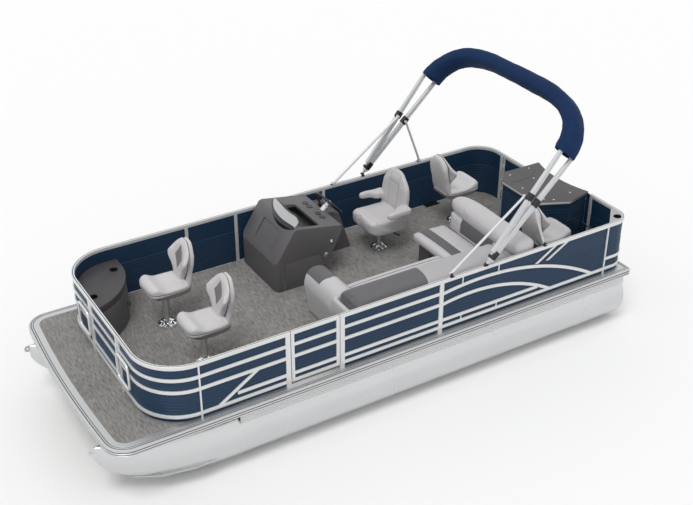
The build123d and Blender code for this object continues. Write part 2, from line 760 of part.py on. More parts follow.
with BuildPart() as helm_console:
    with BuildSketch(Plane.XZ.offset(helm_port)):
        with BuildLine():
            front, aft = along(helm_front), along(helm_aft)
            Polyline(
                (front, deck_top),
                (front, deck_top + helm_knee),
                (front - brow_share * helm_length, deck_top + helm_brow),
                (front - ridge_share * helm_length, deck_top + helm_brow + rail_face / 3),
                (aft, deck_top + helm_lip + 2 * rail_face),
                (aft, deck_top + helm_lip),
                (aft + helm_length / 5, deck_top + helm_knee * 2 / 3),
                (aft + helm_length / 5, deck_top),
                close=True,
            )
        make_face()
    extrude(amount=helm_starboard - helm_port)
    upright = helm_console.edges().filter_by(Axis.Z).group_by(Axis.X)[-1]
    fillet(upright, locker_wall)
    slope_low = Vector(front, 0, deck_top + helm_knee)
    slope_high = Vector(front - brow_share * helm_length, 0, deck_top + helm_brow)
    slope_middle = (slope_low + slope_high) / 2 + Vector(0, helm_middle, 0)
    slope_away = Vector(slope_high.Z - slope_low.Z, 0, slope_low.X - slope_high.X)
    with BuildSketch(Plane(slope_middle, x_dir=(0, 1, 0), z_dir=slope_away)):
        RectangleRounded(recess_width, recess_length, recess_depth * 2)
    extrude(amount=-recess_depth, mode=Mode.SUBTRACT)
    tray_middle = front - (tray_front_share + tray_aft_share) / 2 * helm_length
    with BuildSketch(Plane.XY.offset(deck_top + tray_height)):
        with Locations((tray_middle, helm_middle + tray_shift)):
            RectangleRounded((tray_aft_share - tray_front_share) * helm_length, tray_width, locker_wall / 2)
    extrude(amount=helm_brow - tray_height + rail_face, mode=Mode.SUBTRACT)
    extrude(door_plan(door_gap), amount=door_thickness + door_gap, mode=Mode.SUBTRACT)
    slab(door_low + locker_wall / 2, door_low + door_height - locker_wall / 2,
         (along(door_front - door_length + locker_wall / 2), along(door_front - locker_wall)),
         (-helm_port - locker_depth, -helm_port), mode=Mode.SUBTRACT)
    with BuildSketch(Plane.XY.offset(door_low - door_pin_length / 2)):
        with Locations(door_axis):
            Circle(door_pin_radius + hinge_fit)
    extrude(amount=door_height + door_pin_length, mode=Mode.SUBTRACT)
    with BuildSketch(wheel_plane.offset(-hub_length / 2 - seat_gap)):
        Circle(column_radius)
    extrude(amount=-column_length)
    with BuildSketch(wheel_plane.offset(-hub_length)):
        Circle(shaft_radius)
    extrude(amount=hub_length * 4 / 3)
save(helm_console, "helm_console")

with BuildPart() as helm_door:
    extrude(door_plan(0), amount=door_thickness)
    front_edges = helm_door.edges().filter_by(Axis.Z).group_by(Axis.X)[-1]
    fillet(front_edges, door_thickness / 2 - door_gap / 4)
    with BuildSketch(Plane.XY.offset(door_low - door_pin_length / 2 + door_gap)):
        with Locations(door_axis):
            Circle(door_pin_radius)
    extrude(amount=door_height + door_pin_length - 2 * door_gap)
save(helm_door, "helm_door")

with BuildPart() as steering_wheel:
    with BuildSketch(Plane(wheel_plane.origin, x_dir=wheel_axis, z_dir=(0, 1, 0))):
        with Locations((0, wheel_radius)):
            Circle(wheel_rim)
    revolve(axis=Axis(wheel_point, wheel_axis))
    with BuildSketch(wheel_plane.offset(-hub_length / 2)):
        Circle(hub_radius)
    extrude(amount=hub_length)
    for spoke_angle in spoke_angles:
        with BuildSketch(Plane(wheel_point, x_dir=wheel_axis,
                               z_dir=wheel_plane.x_dir * cos(radians(spoke_angle))
                               + wheel_plane.y_dir * sin(radians(spoke_angle)))):
            Circle(spoke_radius)
        extrude(amount=wheel_radius)
    with BuildSketch(wheel_plane.offset(-hub_length)):
        Circle(shaft_radius + shaft_fit)
    extrude(amount=2 * hub_length, mode=Mode.SUBTRACT)
save(steering_wheel, "steering_wheel")

# Windscreen: a low raked screen on the helm console's brow, its starboard end bent further aft
screen_height = 130.0
screen_thickness = 8.0
screen_rake = 0.9
screen_setback = 228.0
screen_port_bend = 25.0
screen_starboard_bend = 190.0
screen_end_inset = 45.0
with BuildPart() as screen_sweep:
    screen_x = along(helm_front - screen_setback)
    screen_ends = ((screen_x - screen_starboard_bend, -helm_starboard + screen_end_inset),
                   (screen_x - screen_port_bend, -helm_port - screen_end_inset))
    with BuildSketch(Plane.XY.offset(deck_top + helm_brow)) as screen_plan:
        with BuildLine():
            ThreePointArc(screen_ends[0], (screen_x, helm_middle), screen_ends[1])
            offset(amount=screen_thickness, side=Side.RIGHT)
        make_face()
    extrude(screen_plan.sketch, amount=screen_height * hypot(1, screen_rake), dir=(-screen_rake, 0, 1))
    extrude(screen_plan.sketch, amount=helm_lip - helm_brow)
    add(helm_console.part, mode=Mode.SUBTRACT)
with BuildPart() as windscreen:
    add(screen_sweep.part.solids().sort_by(Axis.Z)[-1])
save(windscreen, "windscreen")

# Side pod beside the helmsman's knees, with the throttle on it
pod_port = 800.0
pod_side_length = 405.0
pod_high = 530.0
pod_step = 160.0
throttle_base = (70.0, 50.0, 45.0)
throttle_length = 190.0
throttle_radius = 11.0
throttle_lean = 26.5
pod_aft = helm_aft - pod_side_length
with BuildPart() as pod_block:
    with BuildSketch(Plane.XZ.offset(pod_port)):
        with BuildLine():
            Polyline(
                (along(helm_aft) + helm_length / 5, deck_top),
                (along(helm_aft) + helm_length / 5, deck_top + pod_high),
                (along(helm_aft) - pod_step, deck_top + pod_high),
                (along(pod_aft) + pod_step, deck_top + pod_high - rail_face),
                (along(pod_aft), deck_top),
                close=True,
            )
        make_face()
    extrude(amount=helm_starboard - pod_port)
    add(helm_console.part, mode=Mode.SUBTRACT)
with BuildPart() as helm_pod:
    add(pod_block.part.solids().sort_by(SortBy.VOLUME)[-1])
save(helm_pod, "helm_pod")
with BuildPart() as throttle:
    throttle_point = (along(helm_aft) - pod_step / 2 - throttle_base[0] / 2, -(helm_starboard + pod_port) / 2)
    lever_axis = Vector(sin(radians(throttle_lean)), 0, cos(radians(throttle_lean)))
    with BuildSketch(Plane.XY.offset(deck_top + pod_high)):
        with Locations(throttle_point):
            RectangleRounded(throttle_base[0], throttle_base[1], throttle_base[1] / 4)
    extrude(amount=throttle_base[2])
    with BuildSketch(Plane((*throttle_point, deck_top + pod_high + throttle_base[2] / 2),
                           x_dir=(0, 1, 0), z_dir=lever_axis)):
        Circle(throttle_radius)
    extrude(amount=throttle_length)
save(throttle, "throttle")

# Lounge: a bench across the boat and a seat along the port side, each with its base, cushion and backrest,
# and a rounded arm at the forward end that stands out past the seat
lounge_front = 3660.0
arm_depth = 330.0
arm_height = 560.0
arm_inset = 70.0
arm_inner = 112.0
arm_slab_height = 525.0
lounge_inner = 440.0
lounge_toe = 60.0
lounge_outer = 1180.0
lounge_back_depth = 410.0
base_height = 325.0
cushion_thickness = 110.0
cushion_round = 35.0
back_height = 590.0
bench_back_height = 755.0
bench_aft = 1360.0
bench_back_depth = 290.0
bench_front = 2110.0
bench_starboard = 100.0
back_split = 2690.0
soft_gap = 2.0
seat_high = deck_top + base_height + cushion_thickness
back_inner = lounge_outer - lounge_back_depth
arm_aft = lounge_front - arm_depth
arm_slab_aft = lounge_front - arm_inset
bench_seat_aft = bench_aft + bench_back_depth
bench_base_front = bench_front - 2 * lounge_toe


def padded_block(label, low, high, x_range, y_range, rounding, edges_of):
    """Upholstered block with the chosen edges rounded."""
    with BuildPart() as block:
        slab(low, high, x_range, y_range)
        fillet(edges_of(block), rounding)
    save(block, label)


def top_edges(block):
    return block.edges().group_by(Axis.Z)[-1]


with BuildPart() as port_seat_base:
    slab(deck_top, deck_top + base_height, (along(bench_base_front), along(arm_aft - soft_gap)),
         (lounge_inner + lounge_toe, lounge_outer))
save(port_seat_base, "port_seat_base")
with BuildPart() as aft_seat_base:
    slab(deck_top, deck_top + base_height, (along(bench_aft), along(bench_base_front)),
         (-bench_starboard, lounge_outer))
save(aft_seat_base, "aft_seat_base")
seat_range = (deck_top + base_height, seat_high)
padded_block("port_seat_cushion", *seat_range, (along(bench_front + soft_gap), along(arm_aft - soft_gap)),
             (lounge_inner, back_inner - soft_gap), cushion_round, top_edges)
padded_block("aft_seat_cushion", *seat_range, (along(bench_seat_aft + soft_gap), along(bench_front)),
             (-bench_starboard, back_inner - soft_gap), cushion_round, top_edges)
padded_block("port_back_front", deck_top + base_height, deck_top + back_height,
             (along(back_split + soft_gap), along(arm_slab_aft - soft_gap)), (back_inner, lounge_outer),
             lounge_back_depth / 4, lambda block: block.edges().filter_by(Axis.X).group_by(Axis.Z)[-1])
padded_block("port_back_aft", deck_top + base_height, deck_top + back_height,
             (along(bench_seat_aft + soft_gap), along(back_split)), (back_inner, lounge_outer),
             lounge_back_depth / 4, lambda block: block.edges().filter_by(Axis.X).group_by(Axis.Z)[-1])
padded_block("bench_back", deck_top + base_height, deck_top + bench_back_height,
             (along(bench_aft), along(bench_seat_aft)), (-bench_starboard, lounge_outer),
             bench_back_depth / 3, lambda block: block.edges().filter_by(Axis.Y).group_by(Axis.Z)[-1])
with BuildPart() as lounge_arm:
    with BuildSketch(Plane.XZ.offset(-lounge_outer)) as arm_side:
        with BuildLine():
            Polyline(
                (along(arm_aft), deck_top),
                (along(arm_slab_aft), deck_top),
                (along(lounge_front), deck_top + arm_height - arm_depth / 2),
                (along(lounge_front), deck_top + arm_height),
                (along(arm_aft), deck_top + arm_height),
                close=True,
            )
        make_face()
        fillet(arm_side.vertices().group_by(Axis.Y)[-1], arm_depth / 3)
    extrude(amount=lounge_outer - arm_inner)
    fillet(lounge_arm.edges().group_by(Axis.Y)[0].filter_by(GeomType.LINE, reverse=True), cushion_round)
    slab(deck_top + base_height - soft_gap, deck_top + arm_height, (along(arm_aft), along(arm_slab_aft)),
         (back_inner - soft_gap, lounge_outer), mode=Mode.SUBTRACT)
    slab(deck_top + arm_slab_height, deck_top + arm_height, (along(arm_aft), along(lounge_front)),
         (back_inner - soft_gap, lounge_outer), mode=Mode.SUBTRACT)
save(lounge_arm, "lounge_arm")

# Swivel seats, their places measured back from the bow fence, forwards from the deck's stern edge and back
# from the helm console
starboard_bow_setback = 842.0
port_bow_setback = 892.0
starboard_aft_place = 1041.0
port_aft_place = 861.0
chair_setback = 689.0
seat_rise = 400.0
seat_length = 470.0
seat_width = 440.0
seat_thickness = 125.0
seat_round = 45.0
seat_set_back = 5.0
back_length = 545.0
back_thickness = 90.0
back_tilt = 12.0
chair_rise = 300.0
chair_length = 540.0
chair_width = 540.0
chair_thickness = 190.0
chair_back = 600.0
chair_tilt = 5.0
arm_width = 75.0
arm_length = 330.0
arm_thickness = 75.0
arm_rise = 250.0
arm_link = 45.0
post_radius = 36.0
flange_radius = 98.0
flange_thickness = 9.0
plate_radius = 80.0
plate_thickness = 12.0
swivel_gap = 0.5
# columns: share of the half width, share of the backrest's length, for the shoulders of a backrest
fishing_back_shares = ((0.6, 0.0), (1.0, 0.52), (0.42, 1.0))
helm_back_shares = ((0.9, 0.0), (1.0, 0.6), (0.7, 1.0))
# columns: name, place along the boat, place as a share of half the beam, facing
fishing_seats = (
    ("bow_seat_starboard", fence_bow - starboard_bow_setback, -0.336, 1),
    ("bow_seat_port", fence_bow - port_bow_setback, 0.311, 1),
    ("aft_seat_starboard", starboard_aft_place, -0.54, -1),
    ("aft_seat_port", port_aft_place, 0.605, -1),
)
helm_seat = (helm_aft - chair_setback, -0.484)


def seat_point(place, across_share, height):
    return (along(place), across_share * half_beam, height)


def seat_body(point, facing, length, width, thickness, back, tilt, back_shares):
    """Seat cushion with its backrest, its plane's X towards the sitter's knees."""
    base = Plane(point, x_dir=(facing, 0, 0), z_dir=(0, 0, 1))
    with BuildPart() as body:
        with BuildSketch(base):
            with Locations((seat_set_back, 0)):
                RectangleRounded(length, width, width / 5)
        extrude(amount=thickness)
        fillet(body.edges().group_by(Axis.Z)[-1], seat_round)
        heel = base.from_local_coords(Vector(seat_set_back - length / 2 + back_thickness, 0, thickness / 3))
        lean = base.z_dir * cos(radians(tilt)) - base.x_dir * sin(radians(tilt))
        back_plane = Plane(heel, x_dir=base.y_dir, z_dir=base.y_dir.cross(lean))
        with BuildSketch(back_plane) as outline:
            with BuildLine():
                rights = [(across * width / 2, rise * back) for across, rise in back_shares]
                lefts = [(-across, rise) for across, rise in reversed(rights)]
                Polyline(*rights, *lefts, close=True)
            make_face()
            fillet(outline.vertices().group_by(Axis.Y)[-1], width / 8)
            fillet(outline.vertices().group_by(Axis.Y)[1], width / 6)
        back_faces = outline.sketch
        away = -1 if (back_plane.z_dir.dot(base.x_dir) > 0) else 1
        extrude(back_faces, amount=away * back_thickness)
    return body


for label, place, across_share, facing in fishing_seats:
    seat = seat_body(seat_point(place, across_share, deck_top + seat_rise), facing, seat_length,
                     seat_width, seat_thickness, back_length, back_tilt, fishing_back_shares)
    save(seat, label)

chair_point = seat_point(*helm_seat, deck_top + chair_rise)
helm_chair = seat_body(chair_point, 1, chair_length, chair_width, chair_thickness, chair_back, chair_tilt,
                       helm_back_shares)
with helm_chair:
    for flank in (-1, 1):
        arm_y = chair_point[1] + flank * (chair_width + arm_width - arm_link / 2) / 2
        arm_range = (arm_y - arm_width / 2, arm_y + arm_width / 2)
        arm_start = chair_point[0] + seat_set_back - chair_length / 2 + back_thickness / 4
        slab(chair_point[2] + arm_rise, chair_point[2] + arm_rise + arm_thickness,
             (arm_start, arm_start + arm_length), arm_range)
        slab(chair_point[2] + arm_rise, chair_point[2] + arm_rise + arm_thickness,
             (arm_start - arm_link, arm_start + arm_link),
             tuple(sorted((arm_y + flank * arm_width / 2, chair_point[1] + flank * chair_width / 3))))
save(helm_chair, "helm_chair")

with BuildPart() as seat_pedestals:
    pedestal_places = [(place, across_share, seat_rise) for _, place, across_share, _ in fishing_seats]
    for place, across_share, rise in [*pedestal_places, (*helm_seat, chair_rise)]:
        x, y, low = seat_point(place, across_share, deck_top)
        for radius, bottom, height in (
            (flange_radius, 0, flange_thickness),
            (post_radius, 0, rise - plate_thickness),
            (plate_radius, rise - plate_thickness - swivel_gap, plate_thickness),
        ):
            with BuildSketch(Plane.XY.offset(low + bottom)):
                with Locations((x, y)):
                    Circle(radius)
            extrude(amount=height)
save(seat_pedestals, "seat_pedestals")

# Sun top folded in its boot: two bows a side leaning aft, held by a front and a rear strut a side.
# Points beside the rail are a place along the boat and a height over the rail's top.
pivot_height = 25.0
main_foot, main_head = (2064.0, pivot_height), (993.0, 1003.0)
second_foot, second_head = (2018.0, 113.0), (1183.0, 1174.0)
front_strut = ((2491.0, pivot_height), (1595.0, 678.0))
rear_strut = ((1268.0, pivot_height), (1481.0, 583.0))
bow_tube_radius = 16.0
strut_radius = 14.0
leg_offset = 18.0
strut_offset = -26.0
eye_end_radius = 16.0
leg_eye_width = 34.0
strut_eye_width = 30.0
pivot_pin_radius = 4.0
pivot_fit = 0.05
ear_thickness = 6.0
foot_length = 44.0
foot_plate = 5.0
clamp_radius = 21.0
clamp_length = 46.0
boot_depth, boot_thickness = 290.0, 140.0
boot_corner = 330.0
boot_start, boot_crown = 1350.0, 1870.0
rail_centre = fence_half - rail_depth / 2
leg_y = rail_centre + leg_offset
strut_y = rail_centre + strut_offset


def rail_point(place, across):
    """Point beside a side rail, from its place and height and its distance to port."""
    return Vector(along(place[0]), across, fence_top + place[1])


def bar(start, finish, radius, growth=0):
    """Solid round bar from a point to another, lengthened by the growth."""
    direction = (finish - start).normalized()
    with BuildPart(mode=Mode.PRIVATE) as rod:
        with BuildSketch(Plane(start, z_dir=direction)):
            Circle(radius)
        extrude(amount=(finish - start).length + growth)
    return rod.part


def across_pin(place, side, start, finish, radius):
    """Solid pin across the rail between two distances from the middle of the boat."""
    return bar(rail_point(place, side * start), rail_point(place, side * finish), radius)


bundle_foot = (rail_point(main_foot, 0) + rail_point(second_foot, 0)) / 2
bundle_head = (rail_point(main_head, 0) + rail_point(second_head, 0)) / 2
bundle = (bundle_head - bundle_foot).normalized()
bundle_plane = Plane(bundle_foot, x_dir=(0, 1, 0), z_dir=Vector(0, 1, 0).cross(bundle))

with BuildPart() as top_boot:
    corner_y, shoulder = leg_y - boot_corner, boot_crown - boot_corner
    with BuildLine(bundle_plane) as boot_path:
        Line((leg_y, boot_start), (leg_y, shoulder))
        CenterArc((corner_y, shoulder), boot_corner, 0, 90)
        Line((corner_y, boot_crown), (-corner_y, boot_crown))
        CenterArc((-corner_y, shoulder), boot_corner, 90, 90)
        Line((-leg_y, shoulder), (-leg_y, boot_start))
    boot_end = bundle_plane.from_local_coords(Vector(leg_y, boot_start, 0))
    with BuildSketch(Plane(boot_end, x_dir=(0, 1, 0), z_dir=bundle)) as boot_section:
        RectangleRounded(boot_thickness, boot_depth, boot_thickness / 3)
    sweep(boot_section.sketch, path=boot_path.wires()[0])
save(top_boot, "top_boot")

main_along = (rail_point(main_head, 0) - rail_point(main_foot, 0)).normalized()
second_along = (rail_point(second_head, 0) - rail_point(second_foot, 0)).normalized()
# columns: foot, head, direction, the point beside which the strut's clamp sits
bows = (
    (main_foot, main_head, main_along, rear_strut[1]),
    (second_foot, second_head, second_along, front_strut[1]),
)
boot_low = top_boot.part.bounding_box().min.Z
with BuildPart() as bow_tubes:
    for side in (-1, 1):
        for foot, head, _, _ in bows:
            start, finish = rail_point(foot, side * leg_y), rail_point(head, side * leg_y)
            add(bar(start, finish, bow_tube_radius, boot_depth))
        add(across_pin(main_foot, side, leg_y - leg_eye_width / 2, leg_y + leg_eye_width / 2, eye_end_radius))
        add(across_pin(main_foot, side, leg_y - clamp_length, leg_y + clamp_length,
                       pivot_pin_radius + pivot_fit), mode=Mode.SUBTRACT)
    add(top_boot.part, mode=Mode.SUBTRACT)
with BuildPart() as top_bows:
    add([tube for tube in bow_tubes.part.solids() if tube.bounding_box().min.Z < boot_low])
save(top_bows, "top_bows")

with BuildPart() as top_clamps:
    for side in (-1, 1):
        for foot, _, direction, strut_head in bows:
            origin = rail_point(foot, side * leg_y)
            centre = origin + direction * (rail_point(strut_head, side * leg_y) - origin).dot(direction)
            reach = direction * (clamp_length / 2)
            add(bar(centre - reach, centre + reach, clamp_radius))
        main_start, lower = rail_point(main_foot, side * leg_y), rail_point(second_foot, side * leg_y)
        near = main_start + main_along * (lower - main_start).dot(main_along)
        with BuildSketch(Plane(lower, x_dir=(near - lower).normalized(), z_dir=(0, 1, 0))) as yoke:
            with Locations(((near - lower).length / 2, 0)):
                SlotCenterToCenter((near - lower).length, 2 * clamp_radius)
        extrude(yoke.sketch, amount=clamp_radius, both=True)
    add(top_bows.part, mode=Mode.SUBTRACT)
save(top_clamps, "top_clamps")


def struts(label, ends):
    with BuildPart() as pair:
        for side in (-1, 1):
            add(bar(rail_point(ends[0], side * strut_y), rail_point(ends[1], side * strut_y), strut_radius))
            for end in ends:
                add(across_pin(end, side, strut_y - strut_eye_width / 2, strut_y + strut_eye_width / 2,
                               eye_end_radius))
            add(across_pin(ends[0], side, strut_y - clamp_length, strut_y + clamp_length,
                           pivot_pin_radius + pivot_fit), mode=Mode.SUBTRACT)
    save(pair, label)


struts("front_struts", front_strut)
struts("rear_struts", rear_strut)

# columns: pivot, distance from the middle of the boat, width of the eye, the side on which the ear stands
feet = (
    (main_foot, leg_y, leg_eye_width, -1),
    (front_strut[0], strut_y, strut_eye_width, 1),
    (rear_strut[0], strut_y, strut_eye_width, 1),
)
with BuildPart() as rail_feet:
    for side in (-1, 1):
        for foot, across, eye_width, ear_side in feet:
            slab(fence_top, fence_top + foot_plate,
                 (along(foot[0] - foot_length / 2), along(foot[0] + foot_length / 2)),
                 side_range(side, seat_gap, rail_depth - seat_gap))
            ear_start = across + ear_side * (eye_width / 2 + seat_gap)
            ear_end = ear_start + ear_side * ear_thickness
            slab(fence_top, fence_top + pivot_height,
                 (along(foot[0] - eye_end_radius), along(foot[0] + eye_end_radius)),
                 tuple(sorted((side * ear_start, side * ear_end))))
            add(across_pin(foot, side, ear_start, ear_end, eye_end_radius))
            add(across_pin(foot, side, across - ear_side * eye_width / 2, ear_end, pivot_pin_radius))
save(rail_feet, "rail_feet")
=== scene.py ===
import json
import math

import bmesh
import bpy
import numpy as np
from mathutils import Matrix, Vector


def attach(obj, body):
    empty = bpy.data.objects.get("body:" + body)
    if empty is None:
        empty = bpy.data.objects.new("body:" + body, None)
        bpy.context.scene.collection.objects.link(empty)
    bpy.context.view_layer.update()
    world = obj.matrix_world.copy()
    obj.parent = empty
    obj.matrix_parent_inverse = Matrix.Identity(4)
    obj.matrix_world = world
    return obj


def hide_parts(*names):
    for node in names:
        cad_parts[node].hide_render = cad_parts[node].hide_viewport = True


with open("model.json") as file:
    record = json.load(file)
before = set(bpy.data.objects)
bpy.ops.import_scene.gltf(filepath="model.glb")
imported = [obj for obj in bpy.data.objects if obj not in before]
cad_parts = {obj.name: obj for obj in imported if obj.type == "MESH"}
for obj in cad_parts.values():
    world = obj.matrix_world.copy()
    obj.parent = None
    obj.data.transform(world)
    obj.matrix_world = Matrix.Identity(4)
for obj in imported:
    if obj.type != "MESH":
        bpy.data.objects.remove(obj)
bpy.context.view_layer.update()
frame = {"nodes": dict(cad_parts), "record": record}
nodes = frame["nodes"]
print("frame loaded:", len(nodes), "nodes")

# Lengths are metres. sternEdge is X at the deck's stern edge; places along the boat count forwards from there.
hull = {"sternEdge": -2.9925, "deckLength": 6.31, "halfBeam": 1.295, "deckTop": 0.74, "tubeMiddle": 0.3325,
        "tubeRadius": 0.3175, "tubeOffset": 0.95}
fence = {"half": 1.223, "bow": 5.82, "top": 1.38, "bowRadius": 0.48, "portStern": 0.025, "portRadius": 0.2,
         "starboardStern": 0.23, "starboardRadius": 0.3, "railDepth": 0.032, "railFace": 0.035,
         "bottomHigh": 0.827, "topLow": 1.345}


def atPlace(place):
    return hull["sternEdge"] + place


def hexColour(code):
    # sRGB code to linear colour
    values = [int(code[i:i + 2], 16) / 255 for i in (0, 2, 4)]
    return tuple(v / 12.92 if v < 0.04045 else ((v + 0.055) / 1.055) ** 2.4 for v in values) + (1,)


# Camera of the photograph, fitted to the boat's own corners
cameraView = {"place": (5.4684, 8.9818, 7.4428), "yaw": -2.1152, "pitch": 0.5348, "lens": 58.29, "sensor": 36.0}
cameraData = bpy.data.cameras.new("photoCamera")
cameraData.lens, cameraData.sensor_width = cameraView["lens"], cameraView["sensor"]
cameraData.clip_start, cameraData.clip_end = 0.1, 200
camera = bpy.data.objects.new("photoCamera", cameraData)
bpy.context.scene.collection.objects.link(camera)
camera.location = cameraView["place"]
flat = math.cos(cameraView["pitch"])
aim = Vector((math.cos(cameraView["yaw"]) * flat, math.sin(cameraView["yaw"]) * flat, -math.sin(cameraView["pitch"])))
camera.rotation_mode = "QUATERNION"
camera.rotation_quaternion = aim.to_track_quat("-Z", "Y")
bpy.context.scene.camera = camera
bpy.context.scene.view_settings.view_transform = "Standard"


# Shader wiring: a Wire is a socket with arithmetic, a Finish is a material
class Wire:
    def __init__(self, finish, socket):
        self.finish, self.socket = finish, socket

    def calc(self, operation, *values):
        return self.finish.node("ShaderNodeMath", {"operation": operation}, dict(enumerate(values)))

    def __add__(self, other):
        return self.calc("ADD", self, other)

    __radd__ = __add__

    def __sub__(self, other):
        return self.calc("SUBTRACT", self, other)

    def __rsub__(self, other):
        return self.calc("SUBTRACT", other, self)

    def __mul__(self, other):
        return self.calc("MULTIPLY", self, other)

    __rmul__ = __mul__

    def __truediv__(self, other):
        return self.calc("DIVIDE", self, other)

    def above(self, edge, softness):
        # 0 below the edge, 1 above it, with a soft step between
        step = self.finish.node("ShaderNodeMapRange", {"interpolation_type": "SMOOTHSTEP"},
                                {"Value": self, "From Min": edge - softness / 2, "From Max": edge + softness / 2})
        return step

    def within(self, low, high, softness):
        return self.above(low, softness) * (1 - self.above(high, softness))

    def size(self):
        return self.calc("ABSOLUTE", self)

    def wave(self, pitch):
        # 0 to 1 and back once in each pitch
        return self.calc("SINE", self * (2 * math.pi / pitch)) * 0.5 + 0.5


class Finish:
    def __init__(self, name, **shader):
        self.material = bpy.data.materials.new(name)
        self.material.use_nodes = True
        self.tree = self.material.node_tree
        self.shader = next(n for n in self.tree.nodes if n.type == "BSDF_PRINCIPLED")
        for socket, value in shader.items():
            self.put(socket.replace("_", " ").title().replace("Ior", "IOR"), value)
        self.position = self.node("ShaderNodeTexCoord", {}, {}, "Object")

    def node(self, kind, settings, sockets, output=0):
        made = self.tree.nodes.new(kind)
        for name, value in settings.items():
            setattr(made, name, value)
        for name, value in sockets.items():
            if isinstance(value, Wire):
                self.tree.links.new(value.socket, made.inputs[name])
            else:
                made.inputs[name].default_value = value
        return Wire(self, made.outputs[output])

    def put(self, socket, value):
        if isinstance(value, Wire):
            self.tree.links.new(value.socket, self.shader.inputs[socket])
        else:
            self.shader.inputs[socket].default_value = value

    def axis(self, letter, source=None):
        return self.node("ShaderNodeSeparateXYZ", {}, {"Vector": source or self.position}, letter)

    def attribute(self, name):
        return self.node("ShaderNodeAttribute", {"attribute_name": name}, {}, "Vector")

    def stretched(self, scale):
        return self.node("ShaderNodeMapping", {}, {"Vector": self.position, "Scale": scale})

    def noise(self, scale, detail=3.0, stretch=None, output="Factor"):
        source = self.stretched(stretch) if stretch else self.position
        names = {"Factor": 0}
        return self.node("ShaderNodeTexNoise", {}, {"Vector": source, "Scale": scale, "Detail": detail},
                         names.get(output, output))

    def mix(self, factor, first, second):
        made = self.tree.nodes.new("ShaderNodeMix")
        made.data_type = "RGBA"
        for socket, value in ((made.inputs[0], factor), (made.inputs[6], first), (made.inputs[7], second)):
            if isinstance(value, Wire):
                self.tree.links.new(value.socket, socket)
            else:
                socket.default_value = value
        return Wire(self, made.outputs[2])

    def bump(self, height, depth, strength=1.0):
        self.put("Normal", self.node("ShaderNodeBump", {}, {"Height": height, "Distance": depth,
                                                            "Strength": strength}, "Normal"))


def shade(colour, factor):
    return tuple(min(1, c * factor) for c in colour[:3]) + (1,)


def metalFinish(name, code, roughness, streaks, metallic=1.0, bumpDepth=0.0002):
    # drawn metal: fine streaks that run along the stretch's longest side
    finish = Finish(name, metallic=metallic)
    colour = hexColour(code)
    fine = finish.noise(1.0, 4.0, streaks)
    cloud = finish.noise(1.7, 3.0)
    finish.put("Base Color", finish.mix(fine * 0.5 + cloud * 0.5, shade(colour, 0.9), shade(colour, 1.06)))
    finish.put("Roughness", fine * 0.12 + cloud * 0.1 + (roughness - 0.1))
    finish.bump(fine, bumpDepth, 0.5)
    return finish.material


def paintFinish(name, code, roughness, coat=0.0, grain=0.00006, metallic=0.0, specular=0.5):
    # painted or moulded surface: orange peel, slow colour drift
    finish = Finish(name, metallic=metallic, coat_weight=coat, coat_roughness=0.12, specular_ior_level=specular)
    colour = hexColour(code)
    drift = finish.noise(2.3, 4.0)
    peel = finish.noise(260.0, 2.0)
    finish.put("Base Color", finish.mix(drift, shade(colour, 0.93), shade(colour, 1.07)))
    finish.put("Roughness", drift * 0.1 + peel * 0.06 + (roughness - 0.08))
    finish.bump(peel, grain)
    return finish.material


def vinylFinish(name, code, roughness=0.42, marks=()):
    # marine vinyl: pebbled grain, soft stretch marks and faint wear; each mark is a mask and its colour
    finish = Finish(name, sheen_weight=0.12, sheen_roughness=0.5)
    drift = finish.noise(5.0, 5.0)
    pebble = finish.node("ShaderNodeTexVoronoi", {"feature": "SMOOTH_F1"},
                         {"Vector": finish.position, "Scale": 420.0, "Smoothness": 0.6}, "Distance")
    creases = finish.noise(14.0, 4.0)
    base = finish.mix(drift, shade(hexColour(code), 0.94), shade(hexColour(code), 1.05))
    for mask, second in marks:
        worn = finish.mix(drift, shade(hexColour(second), 0.93), shade(hexColour(second), 1.06))
        base = finish.mix(mask(finish), base, worn)
    finish.put("Base Color", base)
    finish.put("Roughness", drift * 0.1 + pebble * 0.1 + (roughness - 0.1))
    finish.bump(pebble * 0.6 + creases, 0.0012, 0.35)
    return finish.material


# Colour masks of the upholstery, by place on the boat or by place on a seat
vinylPlaces = {"stripe": (1.9, 2.018), "lip": (0.524, 0.537), "backLine": (2.67, 0.87), "capPort": 0.45,
               "capFront": 3.612, "kickPort": (0.19, 0.765), "kickLow": 1.16,
               "armPiping": (0.15, 0.159)}


def stripeMask(finish):
    return finish.axis("X").within(atPlace(vinylPlaces["stripe"][0]), atPlace(vinylPlaces["stripe"][1]), 0.004)


def lipMask(finish):
    return finish.axis("Y").within(*vinylPlaces["lip"], 0.004)


def bolsterMask(finish):
    # all that lies forward of a parabola across the back
    place, middle = vinylPlaces["backLine"]
    aside = finish.axis("Y") - middle
    return (finish.axis("X") - aside * aside * 0.9).above(atPlace(place), 0.004)


def capMask(finish):
    # spade over the crown at the arm's starboard end: it narrows down the bow side
    front = (atPlace(vinylPlaces["capFront"]) - finish.axis("X")).above(0.0, 0.004)
    side = (finish.axis("Y") + (finish.axis("X") - atPlace(3.5)).size() * 0.2).above(vinylPlaces["capPort"], 0.004)
    return front * (1 - side) * finish.axis("Z").above(1.16, 0.004)


def armPipingMask(finish):
    # piping round the arm's starboard end
    return finish.axis("Y").within(*vinylPlaces["armPiping"], 0.003)


def kickMask(finish):
    return finish.axis("Y").within(*vinylPlaces["kickPort"], 0.004) * finish.axis("Z").above(vinylPlaces["kickLow"], 0.004)


